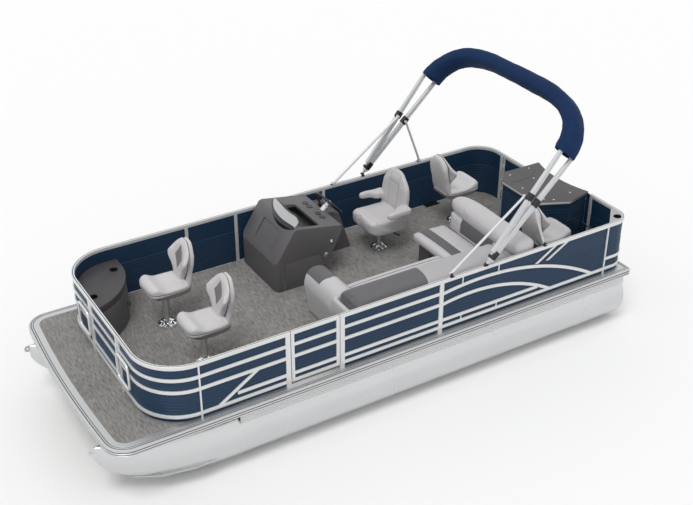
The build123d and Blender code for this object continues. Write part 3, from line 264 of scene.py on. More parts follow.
def backPlace(finish, heel, tilt):
    # distance up a backrest's lean, across it and before its front
    place = finish.attribute("seatPlace")
    x, y, z = (finish.axis(letter, place) for letter in "XYZ")
    lean = math.radians(tilt)
    return ((z - heel[1]) * math.cos(lean) - (x - heel[0]) * math.sin(lean), y,
            (x - heel[0]) * math.cos(lean) + (z - heel[1]) * math.sin(lean))


def diamondMask(finish):
    up, across, before = backPlace(finish, (-0.14, 0.042), 12.0)
    edge = across.size() / 0.085 + (up - 0.32).size() / 0.135
    return (1 - edge.above(1.0, 0.05)) * before.above(-0.02, 0.004)


def fishingSeamMask(finish):
    up, across, before = backPlace(finish, (-0.14, 0.042), 12.0)
    place = finish.attribute("seatPlace")
    x, z = finish.axis("X", place), finish.axis("Z", place)
    back = before.within(-0.032, -0.022, 0.003) * up.above(0.1, 0.004)
    low = (z - (x * 5.0).above(0.5, 1.0) * 0.02).within(0.064, 0.071, 0.003) * x.above(-0.2, 0.01)
    return back.calc("MAXIMUM", back, low)


def undersideMask(finish):
    return 1 - finish.axis("Z", finish.attribute("seatPlace")).above(0.056, 0.003)


def chairSeamMask(finish):
    up, across, before = backPlace(finish, (-0.172, 0.064), 5.0)
    panels = across.size().within(0.085, 0.091, 0.003) * up.above(0.12, 0.004) * before.above(-0.01, 0.004)
    head = up.within(0.426, 0.433, 0.003) * (1 - across.size().above(0.088, 0.003)) * before.above(-0.01, 0.004)
    return panels.calc("MAXIMUM", panels, head) * 0.6


def wovenFloor(name):
    # woven vinyl: threads across the boat in mixed greys, a fine basket bump
    finish = Finish(name, specular_ior_level=0.3)
    threads = finish.noise(1.0, 5.0, (150.0, 13.0, 38.0))
    flecks = finish.noise(1.0, 3.0, (95.0, 9.0, 14.0))
    cloud = finish.noise(3.0, 3.0)
    tone = (threads - 0.5) * 2.2 + (flecks - 0.5) * 0.8 + (cloud - 0.5) * 0.5 + 0.5
    weft = finish.axis("X").wave(0.006)
    warp = finish.axis("Y").wave(0.006)
    finish.put("Base Color", finish.mix(tone.above(0.5, 1.1), hexColour("6a6865"), hexColour("a09e9b")))
    finish.put("Roughness", 0.62 + flecks * 0.2)
    finish.bump(weft * warp + threads * 0.5, 0.0008, 0.5)
    return finish.material


def clothFinish(name, code):
    # woven cover cloth: plain weave, sheen, and a blotchy noise drift that paints fold shade in as darker and lighter
    # patches
    finish = Finish(name, specular_ior_level=0.2)
    colour = hexColour(code)
    drift = finish.noise(7.0, 5.0)
    weave = finish.axis("X").wave(0.0024) * 0.5 + finish.axis("Y").wave(0.0024) * 0.5 + finish.axis("Z").wave(0.0024)
    # painted shade: the drift's darker and lighter patches stand in for the light and shade of folds
    finish.put("Base Color", finish.mix(drift, shade(colour, 0.78), shade(colour, 1.2)))
    finish.put("Roughness", drift * 0.1 + 0.72)
    finish.bump(weave, 0.0003, 0.4)
    return finish.material


def woodFinish(name):
    finish = Finish(name)
    grain = finish.noise(1.0, 6.0, (3.0, 60.0, 60.0))
    finish.put("Base Color", finish.mix(grain, hexColour("8a857b"), hexColour("aaa599")))
    finish.put("Roughness", grain * 0.2 + 0.6)
    finish.bump(grain, 0.0006)
    return finish.material


finishes = {
    "tube": metalFinish("polishedTube", "d3d4d5", 0.24, (0.6, 30.0, 30.0)),
    "trim": metalFinish("deckTrim", "e0e1e2", 0.38, (1.2, 60.0, 60.0), 0.75),
    "member": metalFinish("millMember", "b9bbbd", 0.42, (60.0, 1.0, 60.0)),
    "topTube": metalFinish("anodisedTube", "cfd1d3", 0.44, (8.0, 60.0, 8.0), 0.3),
    "rail": paintFinish("railPaint", "dcdddd", 0.34, 0.2, 0.00003, 0.25),
    "panel": paintFinish("panelPaint", "19344e", 0.45, 0.0, 0.00003, 0.0, 0.3),
    "vinylFloor": wovenFloor("wovenVinyl"),
    "board": woodFinish("deckBoard"),
    "darkMoulding": paintFinish("darkMoulding", "5f5d5f", 0.5, 0.0, 0.00025, 0.0, 0.35),
    "consoleTop": paintFinish("consoleTop", "464446", 0.5, 0.0, 0.00025, 0.0, 0.35),
    "topMoulding": paintFinish("stationMoulding", "4e4c4e", 0.45, 0.0, 0.0002, 0.0, 0.35),
    "greyMoulding": paintFinish("greyMoulding", "a7a6a8", 0.42, 0.1, 0.0002),
    "lightVinyl": vinylFinish("lightVinyl", "c1bfc1"),
        "benchVinyl": vinylFinish("benchVinyl", "c1bfc1", marks=((stripeMask, "565457"),)),
    "seatVinyl": vinylFinish("seatVinyl", "c1bfc1", marks=((lipMask, "565457"),)),
    "backVinyl": vinylFinish("backVinyl", "acaaac", marks=((bolsterMask, "565457"),)),
    "armVinyl": vinylFinish("armVinyl", "c1bfc1", marks=((capMask, "565457"), (armPipingMask, "e4e2e2"))),
    "kickVinyl": vinylFinish("kickVinyl", "c1bfc1", marks=((kickMask, "565457"),)),
    "chairVinyl": vinylFinish("chairVinyl", "c0bebf", marks=((chairSeamMask, "5a585a"),)),
    "fishingVinyl": vinylFinish("fishingVinyl", "c9c7c8", marks=(
        (undersideMask, "6c6868"), (diamondMask, "787376"), (fishingSeamMask, "5c5a5c"))),
    "boot": clothFinish("bootCloth", "0f2a50"),
    "black": paintFinish("blackPlastic", "141416", 0.4, 0.1, 0.00015),
    # dark line finish: painted shadow in the grooves of the rail caps and the deck rim, and the seam line on the
    # station top
    "gasket": paintFinish("darkGasket", "2b2c2e", 0.55, 0.0, 0.0001),
    "rim": metalFinish("rimMetal", "cccdce", 0.42, (1.2, 60.0, 60.0), 0.8),
    "satin": metalFinish("satinMetal", "d0d1d2", 0.3, (20.0, 20.0, 20.0)),
    "strip": paintFinish("paleStrip", "c3c3c3", 0.42, 0.0, 0.00005),
    "pale": paintFinish("palePlastic", "d9d9d8", 0.35, 0.2, 0.00006),
    "bright": metalFinish("brightMetal", "e8e9ea", 0.14, (20.0, 20.0, 20.0), 1.0, 0.00003),
}
screenFinish = Finish("screenPlastic", base_color=hexColour("d0d3d5"), transmission_weight=0.3, ior=1.45)
screenFinish.put("Roughness", screenFinish.noise(3.0) * 0.08 + 0.2)
finishes["screen"] = screenFinish.material
print("finishes made:", len(finishes))

# Which finish each carried-over node gets
nodeFinish = {
    "tube": ("port_pontoon", "starboard_pontoon", "motor_pod"),
    "member": ("cross_members",),
    "trim": ("risers",),
    "rim": ("deck_edge",),
    "board": ("deck_board",),
    "vinylFloor": ("floor_covering",),
    "rail": ("port_bow_corner", "starboard_bow_corner", "port_bow_side", "port_aft_side", "starboard_side",
             "port_stern_corner", "starboard_stern_corner", "bow_gate", "port_gate", "stern_gate"),
    "panel": ("port_bow_corner_panel", "starboard_bow_corner_panel", "port_bow_side_panel", "port_aft_side_panel",
              "starboard_side_panel", "port_stern_corner_panel", "starboard_stern_corner_panel", "bow_gate_panel",
              "port_gate_panel", "stern_gate_panel", "station_cabinet"),
    "topMoulding": ("station_top",),
    "greyMoulding": ("corner_shelf",),
    "consoleTop": ("bow_console_top",),
    "darkMoulding": ("bow_console", "helm_console", "helm_door", "helm_pod",
                     "port_seat_base", "aft_seat_base"),
    "black": ("throttle", "steering_wheel", "top_clamps", "rail_feet"),
    "screen": ("windscreen",),
    "lightVinyl": ("port_seat_cushion", "aft_seat_cushion", "bench_back", "port_back_aft", "port_back_front", "lounge_arm",
                   "bow_seat_port", "bow_seat_starboard", "aft_seat_port", "aft_seat_starboard", "helm_chair"),
    "bright": ("seat_pedestals",),
    "boot": ("top_boot",),
    "topTube": ("top_bows", "front_struts", "rear_struts"),
}
finishOf = {node: key for key, names in nodeFinish.items() for node in names}
bodyOf = {node: body for body, names in frame["record"]["behaviour"]["bodies"].items() for node in names}
for node, obj in nodes.items():
    obj.data.materials.clear()
    obj.data.materials.append(finishes[finishOf[node]])


def newPiece(name, mesh, finish, body, replaced=()):
    piece = bpy.data.objects.new(name, mesh)
    bpy.context.scene.collection.objects.link(piece)
    mesh.materials.clear()
    mesh.materials.append(finishes[finish])
    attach(piece, body)
    if replaced:
        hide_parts(*replaced)
    return piece


# Hard nodes get softened edges: a merged copy stands for the node, with its sharp edges bevelled
softEdges = {
    0.003: nodeFinish["rail"],
    0.012: ("helm_console", "bow_console_top", "helm_pod", "station_top"),
    0.008: ("bow_console", "motor_pod"),
    0.004: ("corner_shelf", "helm_door", "throttle", "port_seat_base", "aft_seat_base"),
    0.0015: ("rail_feet", "top_clamps", "risers"),
}


def softened(node, width):
    mesh = nodes[node].data.copy()
    shape = bmesh.new()
    shape.from_mesh(mesh)
    bmesh.ops.remove_doubles(shape, verts=shape.verts, dist=1e-5)
    bmesh.ops.dissolve_limit(shape, angle_limit=math.radians(0.5), verts=shape.verts, edges=shape.edges)
    shape.to_mesh(mesh)
    shape.free()
    mesh.shade_smooth()
    piece = newPiece(node + "Soft", mesh, finishOf[node], bodyOf[node], (node,))
    bevel = piece.modifiers.new("softEdge", "BEVEL")
    bevel.width, bevel.segments, bevel.limit_method = width, 3, "ANGLE"
    bevel.angle_limit, bevel.harden_normals = math.radians(32), True
    return piece


for width, names in softEdges.items():
    for node in names:
        softened(node, width)
print("edges softened")

# Surfaces: each new shape is a grid of points worked out as whole arrays; a surface is points, quads, triangles
def gridSurface(points, wrapCols=True, wrapRows=False, caps=True):
    # quads between neighbouring points; open ends of a tube are closed by a fan to their middle
    rows, cols = points.shape[:2]
    index = np.arange(rows * cols).reshape(rows, cols)
    wrapped = np.vstack([index, index[:1]]) if wrapRows else index
    wrapped = np.hstack([wrapped, wrapped[:, :1]]) if wrapCols else wrapped
    quads = np.stack([wrapped[:-1, :-1], wrapped[:-1, 1:], wrapped[1:, 1:], wrapped[1:, :-1]], -1).reshape(-1, 4)
    cloud, fans = points.reshape(-1, 3), np.zeros((0, 3), int)
    if caps and wrapCols and not wrapRows:
        cloud = np.vstack([cloud, points[0].mean(0), points[-1].mean(0)])
        first, last = index[0], index[-1]
        middle = np.full(cols, rows * cols)
        fans = np.vstack([np.stack([np.roll(first, -1), first, middle], -1),
                          np.stack([last, np.roll(last, -1), middle + 1], -1)])
    return cloud, quads, fans


def meshOf(name, surfaces, sharp=35.0):
    clouds, quads, fans, first = [], [], [], 0
    for cloud, fours, threes in surfaces:
        clouds.append(cloud)
        quads.append(fours + first)
        fans.append(threes + first)
        first += len(cloud)
    mesh = bpy.data.meshes.new(name)
    mesh.from_pydata(np.vstack(clouds).tolist(), [], np.vstack(quads).tolist() + np.vstack(fans).tolist())
    shape = bmesh.new()
    shape.from_mesh(mesh)
    bmesh.ops.recalc_face_normals(shape, faces=shape.faces)
    shape.to_mesh(mesh)
    shape.free()
    mesh.shade_smooth()
    mesh.set_sharp_from_angle(angle=math.radians(sharp))
    return mesh


def carried(path, profile, up=(0, 0, 1), loop=False):
    # profile points (across, upward) set at each point of a path, at right angles to it
    step = np.roll(path, -1, 0) - path if loop else np.diff(path, axis=0)
    step = step / np.linalg.norm(step, axis=1, keepdims=True)
    ahead = step + np.roll(step, 1, 0) if loop else np.vstack([step[:1], step[:-1] + step[1:], step[-1:]])
    ahead = ahead / np.linalg.norm(ahead, axis=1, keepdims=True)
    across = np.cross(ahead, np.array(up, float))
    across /= np.linalg.norm(across, axis=1, keepdims=True)
    lift = np.cross(across, ahead)
    return path[:, None] + profile[..., :1] * across[:, None] + profile[..., 1:] * lift[:, None]


def circle(radius, count=12, squeeze=1.0):
    turn = np.linspace(0, 2 * np.pi, count, endpoint=False)
    return np.stack([radius * np.cos(turn), squeeze * radius * np.sin(turn)], -1)


def rod(path, radius, count=12, up=(0, 0, 1), loop=False):
    # round bar along a path; its open ends step in a little before they close
    path = np.array(path, float)
    rings = carried(path, circle(radius, count), up, loop)
    if not loop:
        middle = rings.mean(1, keepdims=True)
        small = middle + (rings - middle) * 0.8
        rings = np.concatenate([small[:1], rings, small[-1:]])
    return gridSurface(rings, True, loop)


def bowed(start, finish, bulge, count=9):
    # path from start to finish, standing off by the bulge vector in its middle as a half sine
    share = np.linspace(0, 1, count)[:, None]
    start, finish, bulge = (np.array(v, float) for v in (start, finish, bulge))
    return start + (finish - start) * share + bulge * np.sin(np.pi * share)


def turned(centre, axis, profile, count=32):
    # profile of radius and height turned about an axis through the centre; its ends are closed by a fan
    axis = np.array(axis, float) / np.linalg.norm(axis)
    side = np.cross(axis, (0.0, 1.0, 0.0) if abs(axis[1]) < 0.9 else (1.0, 0.0, 0.0))
    side /= np.linalg.norm(side)
    other = np.cross(axis, side)
    turn = np.linspace(0, 2 * np.pi, count, endpoint=False)[None, :, None]
    profile = np.array(profile, float)
    ring = np.cos(turn) * side + np.sin(turn) * other
    return gridSurface(np.array(centre, float) + profile[:, None, :1] * ring + profile[:, None, 1:] * axis)


def block(low, high, turnIn=0.0):
    # box whose edges are drawn in by a small chamfer: five rings of eight points between its ends
    low, high = np.array(low, float), np.array(high, float)
    size, inset = high - low, turnIn or 0.12 * min(high - low)
    corners = np.array([(0, 1), (0, -1), (1, -1), (1, 1), (1, -1), (1, 1), (0, 1), (0, -1)])
    sideX = np.array([0, 0, inset, size[0] - inset, size[0], size[0], size[0] - inset, inset])
    sideY = np.array([size[1] - inset, inset, 0, 0, inset, size[1] - inset, size[1], size[1]])
    rings = []
    for height, draw in ((0, inset), (inset, 0), (size[2] - inset, 0), (size[2], inset)):
        x = np.clip(sideX, draw, size[0] - draw)
        y = np.clip(sideY, draw, size[1] - draw)
        rings.append(low + np.stack([x, y, np.full(8, height)], -1))
    return gridSurface(np.array(rings))


def superBlock(rows, cols, ends=(0.3, 0.3), bends=(0.3, 0.3)):
    # closed form in a cube of half size 1: sections shrink towards the ends as (1 - |L|^(2/e))^(e/2) and are
    # superellipses with exponent b; e differs at the low and high end, b below and above the middle
    length = np.sin(np.linspace(-0.49 * np.pi, 0.49 * np.pi, rows))[:, None]
    turn = np.linspace(0, 2 * np.pi, cols, endpoint=False)[None, :]
    end = np.where(length < 0, ends[0], ends[1])
    section = (1 - np.abs(length) ** (2 / end)) ** (end / 2)
    bend = np.where(np.sin(turn) < 0, bends[0], bends[1])
    reach = (np.abs(np.cos(turn)) ** (2 / bend) + np.abs(np.sin(turn)) ** (2 / bend)) ** (-bend / 2)
    return np.stack([length + 0 * turn, section * reach * np.cos(turn), section * reach * np.sin(turn)], -1)


def between(share, low, high):
    # a coordinate from -1 to 1 carried to the range from low to high
    return low + (share + 1) / 2 * (high - low)


def pointsOf(mesh, what="co"):
    values = np.empty(3 * len(mesh.vertices), np.float32)
    mesh.vertices.foreach_get(what, values)
    return values.reshape(-1, 3).astype(float)


def asEvaluated(piece):
    return bpy.data.meshes.new_from_object(piece.evaluated_get(bpy.context.evaluated_depsgraph_get()))


# Padding: each pad is remeshed evenly, swollen by cloth under pressure with its seams held, subdivided, and
# its sewn channels pressed in along the normals
padding = {"frames": 20, "pressure": 4.0, "quality": 4, "stiffness": 12.0, "bending": 0.8}
pads = {}


def planPad(name, surfaces, voxel, travel, held, channels=()):
    piece = bpy.data.objects.new(name + "Blank", meshOf(name + "Blank", surfaces))
    bpy.context.scene.collection.objects.link(piece)
    even = piece.modifiers.new("even", "REMESH")
    even.mode, even.voxel_size = "VOXEL", voxel
    mesh = asEvaluated(piece)
    piece.modifiers.clear()
    piece.data = mesh
    pads[name] = {"piece": piece, "rest": pointsOf(mesh), "travel": travel, "held": held, "channels": channels}


def swellPads():
    for pad in pads.values():
        piece = pad["piece"]
        seams = piece.vertex_groups.new(name="seams")
        seams.add(np.flatnonzero(pad["held"](pad["rest"])).tolist(), 1.0, "REPLACE")
        cloth = piece.modifiers.new("swell", "CLOTH")
        setup = cloth.settings
        setup.quality, setup.use_pressure = padding["quality"], True
        setup.uniform_pressure_force = padding["pressure"]
        setup.tension_stiffness = setup.compression_stiffness = padding["stiffness"]
        setup.bending_stiffness = padding["bending"]
        setup.effector_weights.gravity = 0
        setup.vertex_group_mass = "seams"
        cloth.point_cache.frame_start, cloth.point_cache.frame_end = 1, padding["frames"]
    for step in range(1, padding["frames"] + 1):
        bpy.context.scene.frame_set(step)
    for name, pad in pads.items():
        piece = pad["piece"]
        moved = pointsOf(asEvaluated(piece)) - pad["rest"]
        piece.modifiers.clear()
        reach = np.linalg.norm(moved, axis=1, keepdims=True)
        moved *= np.minimum(1, pad["travel"] / np.maximum(reach, 1e-6))
        piece.data.vertices.foreach_set("co", (pad["rest"] + moved).astype(np.float32).ravel())
        piece.data.update()
        finer = piece.modifiers.new("finer", "SUBSURF")
        finer.levels = finer.render_levels = 1
        mesh = asEvaluated(piece)
        piece.modifiers.clear()
        points, normals = pointsOf(mesh), pointsOf(mesh, "normal")
        for distance, width, depth in pad["channels"]:
            points -= normals * (depth * np.exp(-(distance(points) / width) ** 2))[:, None]
        mesh.vertices.foreach_set("co", points.astype(np.float32).ravel())
        mesh.update()
        mesh.shade_smooth()
        pad["mesh"] = mesh
        bpy.data.objects.remove(piece)
    bpy.context.scene.frame_set(1)


def padPiece(name, mesh, finish, replaced):
    piece = newPiece(name, mesh, finish, bodyOf[replaced[0]], replaced)
    return piece


# Lounge: bench across the boat, seat along the port side, long back and the rounded arm at its forward end
lounge = {"seatLow": 1.067, "seatHigh": 1.168, "benchFront": 2.106, "benchAft": 1.66, "benchStarboard": -0.094,
          "seatPort": 0.762, "seatStarboard": 0.446, "seatFront": 3.322, "seatAft": 2.118, "backAft": 1.662,
          "backFront": 3.58, "backInner": 0.75, "backOuter": 1.17, "backHigh": 1.345, "rollLow": 1.284,
          "rollHigh": 1.502, "rollAft": 1.368, "rollFront": 1.642, "armInner": 0.133, "armHigh": 1.298,
          "voxel": 0.014, "travel": 0.012}


def crowned(share, fall):
    # 1 in the middle of a span from -1 to 1 and 1 - fall at its ends, along a parabola
    return 1 - fall * share ** 2


def cushionForm(xRange, yRange, zRange, fall=0.16, ends=(0.16, 0.16)):
    # boxed cushion: sides drawn in halfway up and between the corners, top crowned along and across
    grid = superBlock(56, 64, ends, (0.16, 0.34))
    lengthShare, widthShare, heightShare = grid[..., 0], grid[..., 1], grid[..., 2]
    high = zRange[0] + (zRange[1] - zRange[0]) * crowned(lengthShare, fall / 2) * crowned(widthShare, fall / 2)
    waist = 1 - 0.012 * crowned(lengthShare, 1) * crowned(heightShare, 1)
    x = between(lengthShare * (1 - 0.006 * crowned(widthShare, 1)), *xRange)
    y = between(widthShare * waist, *yRange)
    z = zRange[0] + (heightShare + 1) / 2 * (high - zRange[0])
    return gridSurface(np.stack([x + hull["sternEdge"], y, z], -1))


def backForm():
    # long back along the port side: flat foot, rounded shoulders, a slow swell along its length
    grid = superBlock(80, 64, (0.14, 0.14), (0.14, 0.36))
    x = between(grid[..., 0], lounge["backAft"], lounge["backFront"])
    wide = 1 - 0.03 * (1 - grid[..., 2]) / 2
    y = between(grid[..., 1] * wide, lounge["backInner"], lounge["backOuter"])
    return gridSurface(np.stack([x + hull["sternEdge"], y, between(grid[..., 2], 1.069, lounge["backHigh"])], -1))


def rollForm():
    # bolster on the bench's back: round section, domed at its starboard end
    grid = superBlock(72, 56, (0.62, 0.16), (0.62, 0.78))
    x = between(grid[..., 1], lounge["rollAft"], lounge["rollFront"])
    y = between(grid[..., 0], lounge["benchStarboard"], lounge["backOuter"])
    return gridSurface(np.stack([x + hull["sternEdge"], y, between(grid[..., 2], lounge["rollLow"], lounge["rollHigh"])], -1))


def benchLowerForm():
    # bench's back under the bolster, leaning a little forwards at its foot
    grid = superBlock(64, 48, (0.3, 0.16), (0.16, 0.16))
    lean = 0.012 * (grid[..., 2] + 1) / 2
    x = between(grid[..., 1], lounge["rollAft"] + 0.012, 1.64) - lean
    y = between(grid[..., 0], lounge["benchStarboard"] + 0.03, lounge["backOuter"])
    return gridSurface(np.stack([x + hull["sternEdge"], y, between(grid[..., 2], 1.069, lounge["rollLow"] + 0.05)], -1))


def armForm():
    # arch across the lounge's forward end: its bow face leans out towards the top, the crown is rounded
    grid = superBlock(56, 72, (0.13, 0.16), (0.12, 0.78))
    rise = (grid[..., 2] + 1) / 2
    bowFace = 3.586 + 0.068 * np.clip(rise / 0.7, 0, 1)
    x = between(grid[..., 1], 3.336, bowFace)
    y = between(grid[..., 0], lounge["armInner"], 0.764)
    return gridSurface(np.stack([x + hull["sternEdge"], y, 0.744 + rise * (lounge["armHigh"] - 0.744)], -1))


def armSlabForm():
    # the arm's thinner part before the long back
    grid = superBlock(32, 56, (0.2, 0.14), (0.12, 0.4))
    rise = (grid[..., 2] + 1) / 2
    lean = 0.068 * np.clip(rise / 0.75, 0, 1)
    x = between(grid[..., 1], 3.5 + lean, 3.586 + lean)
    x = np.maximum(x, np.where(rise > 0.6, 3.594, x))
    y = between(grid[..., 0], 0.72, 1.172)
    return gridSurface(np.stack([x + hull["sternEdge"], y, 0.744 + rise * 0.514], -1))


def armFootForm():
    grid = superBlock(24, 40, (0.16, 0.16), (0.14, 0.14))
    x, y = between(grid[..., 1], 3.338, 3.56), between(grid[..., 0], 0.72, 1.172)
    return gridSurface(np.stack([x + hull["sternEdge"], y, between(grid[..., 2], 0.744, 1.056)], -1))


def lineAt(axis, place):
    return lambda points: points[:, axis] - place


planPad("benchCushion", [cushionForm((lounge["benchAft"], lounge["benchFront"]),
                                     (lounge["benchStarboard"], lounge["seatPort"]), (1.067, 1.17))],
        0.012, 0.009, lambda p: (p[:, 2] < 1.075) | (np.abs(p[:, 0] - atPlace(2.022)) < 0.007),
        ((lineAt(0, atPlace(2.022)), 0.007, 0.006), (lineAt(0, atPlace(1.9)), 0.005, 0.002)))
planPad("portCushion", [cushionForm((lounge["seatAft"], lounge["seatFront"]),
                                    (lounge["seatStarboard"], lounge["seatPort"]), (1.067, 1.17))],
        0.012, 0.009, lambda p: (p[:, 2] < 1.075) | (np.abs(p[:, 1] - 0.53) < 0.007),
        ((lineAt(1, 0.53), 0.007, 0.006),))
planPad("portBack", [backForm()], lounge["voxel"], lounge["travel"],
        lambda p: (p[:, 2] < 1.078) | (np.abs(p[:, 0] - atPlace(2.67 + 0.9 * 0.0)) < 0.004),
        ((lambda p: p[:, 0] - atPlace(2.67) - 0.9 * (p[:, 1] - 0.87) ** 2, 0.008, 0.005),
         (lambda p: (p[:, 1] - 0.826) + 0 * p[:, 0], 0.006, 0.002)))
planPad("benchRoll", [rollForm()], lounge["voxel"], lounge["travel"],
        lambda p: p[:, 2] < 1.3, ((lineAt(1, 1.0), 0.006, 0.002),))
planPad("benchLower", [benchLowerForm()], lounge["voxel"], 0.008,
        lambda p: (p[:, 2] < 1.078) | (p[:, 2] > 1.33),
        ((lineAt(1, 0.19), 0.006, 0.004), (lineAt(1, 0.765), 0.006, 0.004), (lineAt(2, 1.16), 0.006, 0.004)))
planPad("loungeArm", [armForm(), armSlabForm(), armFootForm()], lounge["voxel"], 0.006,
        lambda p: p[:, 2] < 0.756,
        ((lineAt(1, 0.146), 0.006, 0.003), (lambda p: p[:, 2] - 0.79, 0.007, 0.003)))

# Fishing seat in its own frame: x to the sitter's knees, origin on the swivel axis at the seat's underside
fishingSeat = {"front": 0.226, "aft": -0.246, "halfWidth": 0.206, "high": 0.116, "heel": (-0.14, 0.042), "tilt": 12.0,
               "backLow": 0.0, "backLength": 0.525, "voxel": 0.0118, "travel": 0.008}
# columns: distance up the backrest, half width
fishingShellWidths = ((0.0, 0.19), (0.1, 0.176), (0.2, 0.168), (0.3, 0.168), (0.4, 0.158), (0.525, 0.09))
fishingFrontWidths = ((0.0, 0.12), (0.08, 0.09), (0.14, 0.11), (0.22, 0.175), (0.28, 0.206), (0.35, 0.205), (0.43, 0.168),
                      (0.525, 0.085))


def fishingCushionForm():
    # the top swells at the front edge and the sides, dips in the middle, and the underside rises forwards
    sizes = fishingSeat
    grid = superBlock(48, 64, (0.3, 0.42), (0.2, 0.42))
    share, side, rise = grid[..., 0], grid[..., 1], (grid[..., 2] + 1) / 2
    half = sizes["halfWidth"] * (1 - 0.1 * np.clip(-share, 0, 1) ** 2)
    top = sizes["high"] + 0.042 * np.exp(-((share - 0.7) / 0.32) ** 2) - 0.02 * np.exp(-(share / 0.5) ** 2) * (1 - side ** 2)
    low = 0.002 + 0.028 * np.clip(share, 0, 1) ** 2
    return gridSurface(np.stack([between(share, sizes["aft"], sizes["front"]), side * half, low + rise * (top - low)], -1))


def leaningForm(sizes, widths, grid, depths, belly, wrap):
    # backrest along its lean: half widths read off a table, a lumbar swell, the sides wrapped forwards
    rise = between(grid[..., 0], sizes["backLow"], sizes["backLength"])
    half = np.interp(rise, *np.array(widths).T)
    half = (half + np.interp(rise - 0.02, *np.array(widths).T) + np.interp(rise + 0.02, *np.array(widths).T)) / 3
    depth = depths[1] + (grid[..., 2] - 1) / 2 * (depths[1] - depths[0]) * (1 - 0.25 * (rise / sizes["backLength"]) ** 2)
    wings = wrap[0] + wrap[1] * np.exp(-((rise - 0.29) / 0.1) ** 2)
    depth = depth + belly * np.exp(-((rise - 0.17) / 0.09) ** 2) * (grid[..., 2] > 0) + wings * grid[..., 1] ** 2
    lean = math.radians(sizes["tilt"])
    x = sizes["heel"][0] - rise * math.sin(lean) + depth * math.cos(lean)
    z = sizes["heel"][1] + rise * math.cos(lean) + depth * math.sin(lean)
    return gridSurface(np.stack([x, grid[..., 1] * half, z], -1))


def upTheBack(points, sizes):
    # distance up the backrest's lean and distance before its front plane
    lean = math.radians(sizes["tilt"])
    x, z = points[:, 0] - sizes["heel"][0], points[:, 2] - sizes["heel"][1]
    return z * math.cos(lean) - x * math.sin(lean), x * math.cos(lean) + z * math.sin(lean)


planPad("fishingSeat", [fishingCushionForm(),
                        leaningForm(fishingSeat, fishingShellWidths, superBlock(56, 56, (0.3, 0.5), (0.4, 0.42)), (-0.095, -0.035), 0.0, (0.0, 0.0)),
                        leaningForm(fishingSeat, fishingFrontWidths, superBlock(56, 56, (0.3, 0.5), (0.4, 0.42)), (-0.05, 0.0), 0.012,
                                    (0.004, 0.062))],
        fishingSeat["voxel"], fishingSeat["travel"], lambda p: p[:, 2] < 0.02,
        ((lambda p: np.where(p[:, 0] > -0.2, p[:, 2] - 0.063 - 0.02 * np.clip(p[:, 0] / 0.2, 0, 1), 1), 0.006, 0.003),
         (lambda p: np.where(upTheBack(p, fishingSeat)[0] > 0.1, upTheBack(p, fishingSeat)[1] + 0.026, 1), 0.006, 0.003)))

# Helm chair in its own frame
helmChair = {"front": 0.262, "aft": -0.25, "halfWidth": 0.252, "high": 0.172, "heel": (-0.172, 0.064), "tilt": 5.0,
             "backLow": -0.08, "backLength": 0.585, "voxel": 0.012, "travel": 0.01, "armReach": (-0.24, 0.088),
             "armMiddle": 0.3, "armHalf": 0.038, "armHeights": (0.205, 0.295)}
helmBackWidths = ((-0.08, 0.235), (0.0, 0.243), (0.15, 0.247), (0.3, 0.262), (0.42, 0.247), (0.5, 0.2), (0.585, 0.12))


def chairCushionForm():
    # deep cushion: bolsters at the sides, a rolled front edge that falls to the underside
    sizes = helmChair
    grid = superBlock(48, 72, (0.26, 0.42), (0.2, 0.36))
    share, side, rise = grid[..., 0], grid[..., 1], (grid[..., 2] + 1) / 2
    half = sizes["halfWidth"] * (1 - 0.05 * np.clip(-share, 0, 1) ** 2 - 0.05 * (1 - rise) ** 2)
    top = sizes["high"] - 0.02 * (1 - side ** 4) * np.exp(-((share + 0.1) / 0.6) ** 2)
    low = -0.03 + 0.05 * np.clip(share, 0, 1) ** 3
    return gridSurface(np.stack([between(share, sizes["aft"], sizes["front"]), side * half, low + rise * (top - low)], -1))


def chairArmForm(flank):
    # armrest that grows out of the back's side and thins towards its tip
    sizes = helmChair
    grid = superBlock(32, 32, (0.3, 0.4), (0.42, 0.42))
    behind = np.clip(0.5 - grid[..., 0] * 2, 0, 1)
    x = between(grid[..., 0], *sizes["armReach"])
    y = sizes["armMiddle"] - 0.035 * behind + grid[..., 1] * (sizes["armHalf"] + 0.03 * behind - 0.004 * grid[..., 0])
    thin = 1 - 0.16 * (grid[..., 0] + 1) / 2
    return gridSurface(np.stack([x, flank * y, between(grid[..., 2] * thin, *sizes["armHeights"])], -1))


planPad("helmChair", [chairCushionForm(),
                      leaningForm(helmChair, helmBackWidths, superBlock(64, 64, (0.25, 0.45), (0.42, 0.42)), (-0.088, 0.0), 0.01,
                                  (0.02, 0.0)),
                      chairArmForm(1), chairArmForm(-1)],
        helmChair["voxel"], helmChair["travel"], lambda p: p[:, 2] < -0.015,
        ((lambda p: np.where(upTheBack(p, helmChair)[0] > 0.12, np.abs(p[:, 1]) - 0.088, 1), 0.006, 0.005),
         (lambda p: np.where(np.abs(p[:, 1]) < 0.1, upTheBack(p, helmChair)[0] - 0.43, 1), 0.006, 0.004),
         (lambda p: np.where(p[:, 0] > -0.1, np.abs(p[:, 1]) - 0.165, 1), 0.007, 0.004),
         (lambda p: np.where(p[:, 2] > 0.11, p[:, 0] - 0.15, 1), 0.008, 0.004)))
print("pads planned:", len(pads))
swellPads()
print("pads swollen")

for name, finish, replaced in (("benchCushion", "benchVinyl", ("aft_seat_cushion",)),
                               ("portCushion", "seatVinyl", ("port_seat_cushion",)),
                               ("portBack", "backVinyl", ("port_back_front", "port_back_aft")),
                               ("benchRoll", "lightVinyl", ("bench_back",)),
                               ("loungeArm", "armVinyl", ("lounge_arm",))):
    padPiece(name, pads[name]["mesh"], finish, replaced)
lowerBack = newPiece("benchLower", pads["benchLower"]["mesh"], "kickVinyl", bodyOf["bench_back"])

